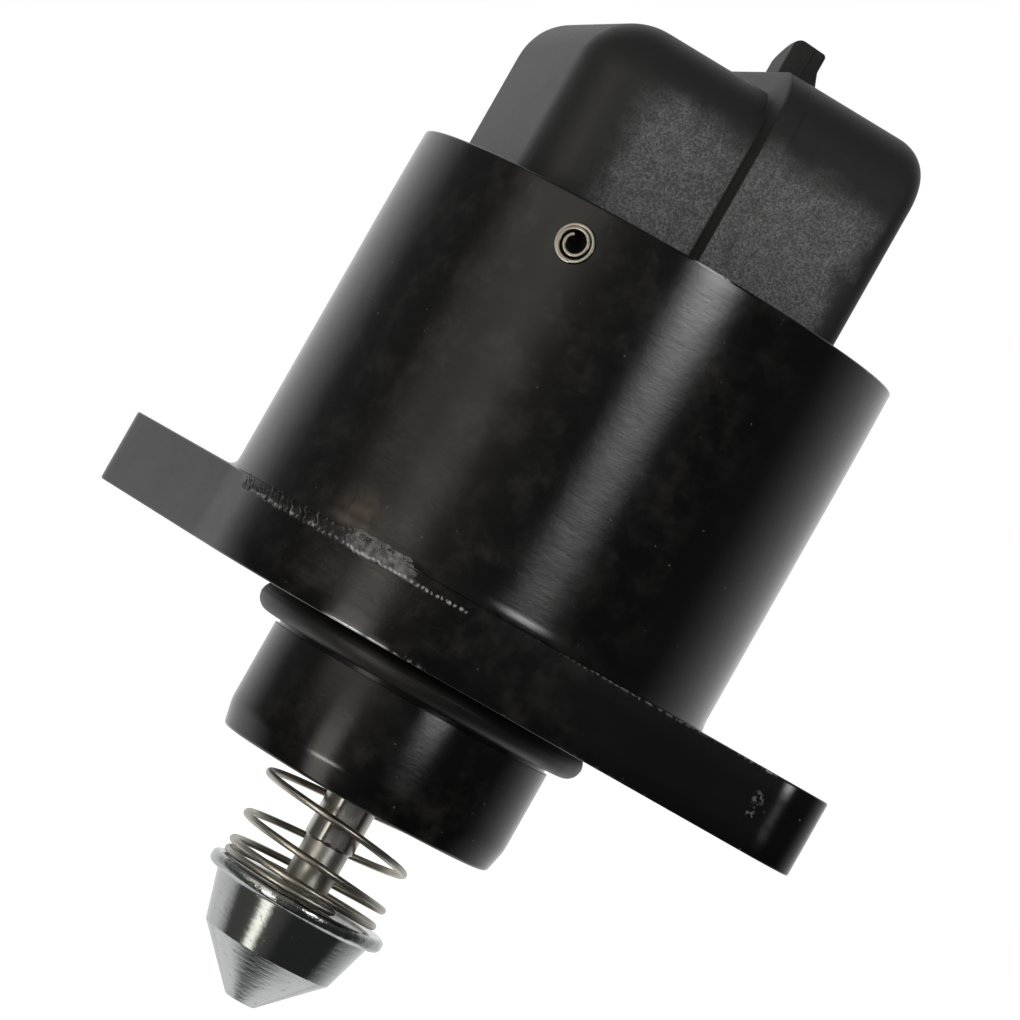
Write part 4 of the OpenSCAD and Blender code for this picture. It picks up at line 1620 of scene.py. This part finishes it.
    def hook(self) -> bpy.types.Object:
        """The latch hook: a rounded back view carried along its ramp.

        Each row is the outline seen from behind at one depth. The top falls
        along a convex ramp towards the mouth, and the right side flares out
        over its foot.

        Returns:
            The closed hook.
        """
        foot = self.high_top - self.hook_foot
        shelf = foot + self.hook_foot
        wide = self.hook_w / 2
        share = np.concatenate([[0, 0.012, 0.04], np.linspace(0.1, 0.9, 12), [0.96, 0.988, 1]])
        rows = []
        for part in share:
            end = 1 - math.sqrt(max(0, 1 - (max(abs(2 * part - 1) - 0.9, 0) / 0.1) ** 2))
            top = self.hook_top - self.hook_drop * part**2 - 0.25 * end
            half = wide - 0.15 * end
            flare_z = min(shelf + self.hook_flare_h, top - 0.5)
            outline = rounded_outline(
                [
                    (-half, foot, 0),
                    (half + self.hook_flare, foot, 0),
                    (half + self.hook_flare, shelf, 0),
                    (half, flare_z, 0.6),
                    (half, top - 0.12, 0.25),
                    (-half, top, 0.55),
                ],
                6,
            )
            depth = np.full(len(outline), self.hook_back + self.hook_len * part)
            rows.append(np.column_stack([self.hook_x + outline[:, 0], depth, outline[:, 1]]))
        return Surface.build("hook", np.stack(rows), wrap_columns=True, caps=True)

    def build(self, finish: bpy.types.Material) -> bpy.types.Object:
        """Joins the socket, the plug and the hook, and hollows the socket.

        Args:
            finish: its material.

        Returns:
            The moulding.
        """
        cap = Surface.build("socket_moulding", self.skin_grid(), wrap_columns=True, caps=True)
        beyond = 40.0
        low, high = self.plug_z - 1.2, self.rim_top
        ring = np.array([(self.plug_r, low), (beyond, low), (beyond, high), (self.plug_r, high)])
        cutter = Surface.build("ring_cutter", revolve(ring, 160), wrap_rows=True, wrap_columns=True)
        Surface.combine(cap, cutter, "DIFFERENCE")
        Surface.combine(cap, self.plug(), "UNION")
        Surface.combine(cap, self.hook(), "UNION")
        left = self.left + self.wall
        Surface.combine(cap, self.hollow(left, self.floor_z, self.low_top), "DIFFERENCE")
        left = self.step_x + self.wall
        Surface.combine(cap, self.hollow(left, self.floor_z + 1, self.high_top), "DIFFERENCE")
        Surface.dress(cap, finish, 32)
        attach(cap, Body.HOUSING.value)
        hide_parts("connector_cap")
        return cap


@dataclass
class Studio:
    """Camera, lamps, floor and background, set out from the photograph.

    The camera stands level with the lower part of the can, and is rolled so
    that the valve leans to the right in the picture. axis_px and level_px say
    how far the axis and that level lie from the picture's middle.
    """

    distance: float = 303.0
    eye_z: float = 5.55
    bearing: float = math.radians(-103.0)
    pixels_per_mm: float = 15.6
    axis_px: float = 7.0
    level_px: float = -91.0
    roll: float = math.radians(29.6)
    sensor: float = 36.0
    floor_z: float = -45.0
    floor_half: float = 3000.0

    def camera(self) -> None:
        """Aims the camera so that the valve lands where the photo has it."""
        focal_px = self.pixels_per_mm * self.distance
        data = bpy.data.cameras.new("photo_camera")
        data.sensor_width = self.sensor
        data.lens = focal_px / PHOTO_PIXELS * self.sensor
        data.clip_start = 0.01
        data.clip_end = 20.0
        camera = bpy.data.objects.new("photo_camera", data)
        bpy.context.scene.collection.objects.link(camera)
        away = Vector((math.cos(self.bearing), math.sin(self.bearing), 0.0))
        right = Vector((-away.y, away.x, 0.0))
        yaw = math.atan(self.axis_px / focal_px)
        pitch = math.atan(-self.level_px / focal_px)
        ahead = -away * math.cos(yaw) - right * math.sin(yaw)
        side = right * math.cos(yaw) - away * math.sin(yaw)
        up = Vector((0, 0, 1))
        view = ahead * math.cos(pitch) + up * math.sin(pitch)
        above = up * math.cos(pitch) - ahead * math.sin(pitch)
        picture_x = side * math.cos(self.roll) + above * math.sin(self.roll)
        picture_y = above * math.cos(self.roll) - side * math.sin(self.roll)
        turn = Matrix((picture_x, picture_y, -view)).transposed()
        place = away * self.distance + Vector((0, 0, self.eye_z))
        camera.matrix_world = Matrix.Translation(place * MM) @ turn.to_4x4()
        bpy.context.scene.camera = camera

    def lamp(
        self, name: str, turn: float, height: float, size: Sequence[float], watts: float, reach: float = 600.0
    ) -> None:
        """Adds one soft lamp that faces the valve.

        Args:
            name: the lamp's name.
            turn: degrees to the right of the camera, seen from above.
            height: its height over the flange.
            size: its width and height.
            watts: its power.
            reach: its distance from the axis.
        """
        data = bpy.data.lights.new(name, "AREA")
        data.shape = "RECTANGLE"
        data.size, data.size_y = size[0] * MM, size[1] * MM
        data.energy = watts
        lamp = bpy.data.objects.new(name, data)
        lamp.visible_glossy = False
        bpy.context.scene.collection.objects.link(lamp)
        angle = self.bearing + math.radians(turn)
        place = Vector((math.cos(angle) * reach, math.sin(angle) * reach, height)) * MM
        aim = Vector((0, 0, 10 * MM)) - place
        lamp.matrix_world = Matrix.Translation(place) @ aim.to_track_quat("-Z", "Y").to_matrix().to_4x4()

    def floor(self) -> None:
        """A pale floor that keeps the valve's shadow and isn't mirrored."""
        net = ShaderNet.material("pale_floor")
        camera = Wire(net, net.node("ShaderNodeLightPath").outputs["Is Camera Ray"])
        matt = net.node("ShaderNodeBsdfDiffuse", None, {"Color": grey(0.75)})
        glow = net.node("ShaderNodeEmission", None, {"Color": grey(1.0), "Strength": camera * 0.7})
        both = net.node("ShaderNodeAddShader")
        net.tree.links.new(matt.outputs[0], both.inputs[0])
        net.tree.links.new(glow.outputs[0], both.inputs[1])
        net.close(both)
        line = [-self.floor_half, self.floor_half]
        x, y = np.meshgrid(line, line, indexing="ij")
        floor = Surface.build("studio_floor", np.stack([x, y, 0 * x + self.floor_z], axis=-1))
        floor.data.materials.append(net.owner)
        floor.visible_glossy = False

    @staticmethod
    def mirrored_room(ahead: Wire, side: Wire, z: Wire) -> Wire:
        """Brightness that a reflection sees in each direction.

        A white wall stands behind the valve. Its edge lies further round on
        the left than on the right, and elsewhere again far below. Left of
        the camera are a wide strip over the horizon, a narrow brighter one
        under it and a low lamp, and right of it is a strip that is brightest
        further up. The front and the sides are dim, and what is seen almost
        straight down is the wall's foot and the dark before it. The strips
        are told apart by the turn from the camera and by the rise over the
        horizon, both in degrees.

        Args:
            ahead: the direction's share away from the camera.
            side: its share to the picture's right.
            z: its share upwards.

        Returns:
            The brightness.
        """
        degrees = 360 / FULL_TURN
        turn = side.maths("ARCTAN2", ahead * -1.0) * degrees
        rise = z.maths("ARCSINE") * degrees
        above = rise.between(-0.9, 0.2)
        left = side * -1.0
        down = z * -1.0
        right_level = rise.between(0.2, 1.6) * 1.9 + rise.between(4.2, 6.5) * 6.4
        right_strip = (1 - abs(turn - 25).between(1, 16)) * right_level * (1 - rise.between(11, 19))
        high_level = (0.54 + rise.between(3, 5) * 0.3) * (1 - rise.between(11, 20))
        left_strip = turn.band(-48, 21) * above * high_level
        under_strip = turn.band(-38, 9) * (1 - above) * 1.9
        low_lamp = turn.band(-34, 10) * rise.band(-17.5, 2.5) * 10
        front = turn.band(-8, 14) * (0.03 + above * 0.048)
        dim = (0.06 + left.between(-0.1, 0.4) * 0.11) * (0.5 + above * 0.5)
        strips = left_strip + under_strip + low_lamp + right_strip + front + dim
        to_right = side.between(-0.3, 0.3)
        left_limit = (z * 0.9 + 0.45).maths("MINIMUM", 0.45).most(0.13)
        wall_left = (ahead - left_limit).between(-0.35, 0.35) * 0.85
        wall_right = ahead.between(-0.2, 1.15) * 0.9
        low = down.between(0.5, 0.57)
        low_limit = 0.13 + to_right * 0.09
        wall_low = (ahead - low_limit).between(-0.15, 0.15) * 0.98
        wall = (wall_left * (1 - to_right) + wall_right * to_right) * (1 - low) + wall_low * low
        below = (ahead + abs(side + 0.17) * 0.35).between(-0.05, 0.5)
        steep = down.between(0.75, 0.95)
        return strips.most(wall) * (1 - steep) + below * steep

    def background(self) -> None:
        """White background, with a studio that only reflections see."""
        world = bpy.data.worlds.new("studio")
        world.cycles.sampling_method = "NONE"
        bpy.context.scene.world = world
        net = ShaderNet(world)
        x, y, z = net.parts(net.wire("ShaderNodeTexCoord", output="Generated"))
        ahead = x * -math.cos(self.bearing) + y * -math.sin(self.bearing)
        side = x * -math.sin(self.bearing) + y * math.cos(self.bearing)
        path = net.node("ShaderNodeLightPath")
        glossy = Wire(net, path.outputs["Is Glossy Ray"])
        camera = Wire(net, path.outputs["Is Camera Ray"])
        plain = 0.42 + ahead.between(-0.12, 0.12) * 0.1 + z * 0.06
        room = self.mirrored_room(ahead, side, z)
        strength = camera + (1 - camera) * (glossy * room + (1 - glossy) * plain)
        warm = glossy * (side * -1.0).between(-0.1, 0.4) * (1 - ahead.between(-0.3, 0.1))
        colour = net.mix(warm, grey(1.0), (1.0, 0.97, 0.88, 1.0))
        back = net.node("ShaderNodeBackground", None, {"Color": colour, "Strength": strength})
        net.close(back, "ShaderNodeOutputWorld")

    def build(self) -> None:
        """Sets up the whole studio."""
        self.camera()
        self.floor()
        self.background()
        self.lamp("right_strip", 23, 310, (150, 600), 1.4)
        self.lamp("left_strip", -37, 60, (180, 500), 0.45)
        self.lamp("top_soft", 0, 700, (500, 500), 0.6, 300)


def dress_cad_nodes(frame: Mapping[str, object], finish: Mapping[str, bpy.types.Material]) -> None:
    """Gives every CAD node the finish of its own material slot.

    Args:
        finish: materials by slot.
    """
    for entry in frame["record"]["subparts"]:
        node = frame["nodes"][entry["node"]]
        node.data.materials.clear()
        node.data.materials.append(finish[entry["material_slot"]])


def main() -> None:
    """Builds the valve's looks round its frame and reports each piece."""
    logging.basicConfig(level=logging.INFO, format="%(name)s: %(message)s")
    for leftover in list(bpy.data.objects):
        bpy.data.objects.remove(leftover)
    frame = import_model()
    bpy.context.scene.view_settings.view_transform = "Standard"
    Studio().build()
    finish = finishes()
    dress_cad_nodes(frame, finish)
    casting = Casting()
    pieces = casting.build(finish["painted_casting"])
    pieces.append(NoseSeal().build(finish["seal_rubber"]))
    pieces.append(ReturnSpring().build(finish["spring_steel"]))
    pieces.append(ValvePintle().build(finish["pintle_zinc"]))
    pieces.append(ScrewShaft().build(finish["shaft_steel"]))
    for name, node, extra in (
        ("coiled_pin_front", "roll_pin_front", 0.0),
        ("coiled_pin_rear", "roll_pin_rear", math.pi),
    ):
        pieces.append(CoiledPin().build(name, node, casting.pin_turn + extra, finish["pin_steel"]))
    pieces.append(SocketMoulding().build(finish["connector_plastic"]))
    for piece in pieces:
        LOG.info("%s: %d faces", piece.name, len(piece.data.polygons))


if __name__ == "__main__":
    main()
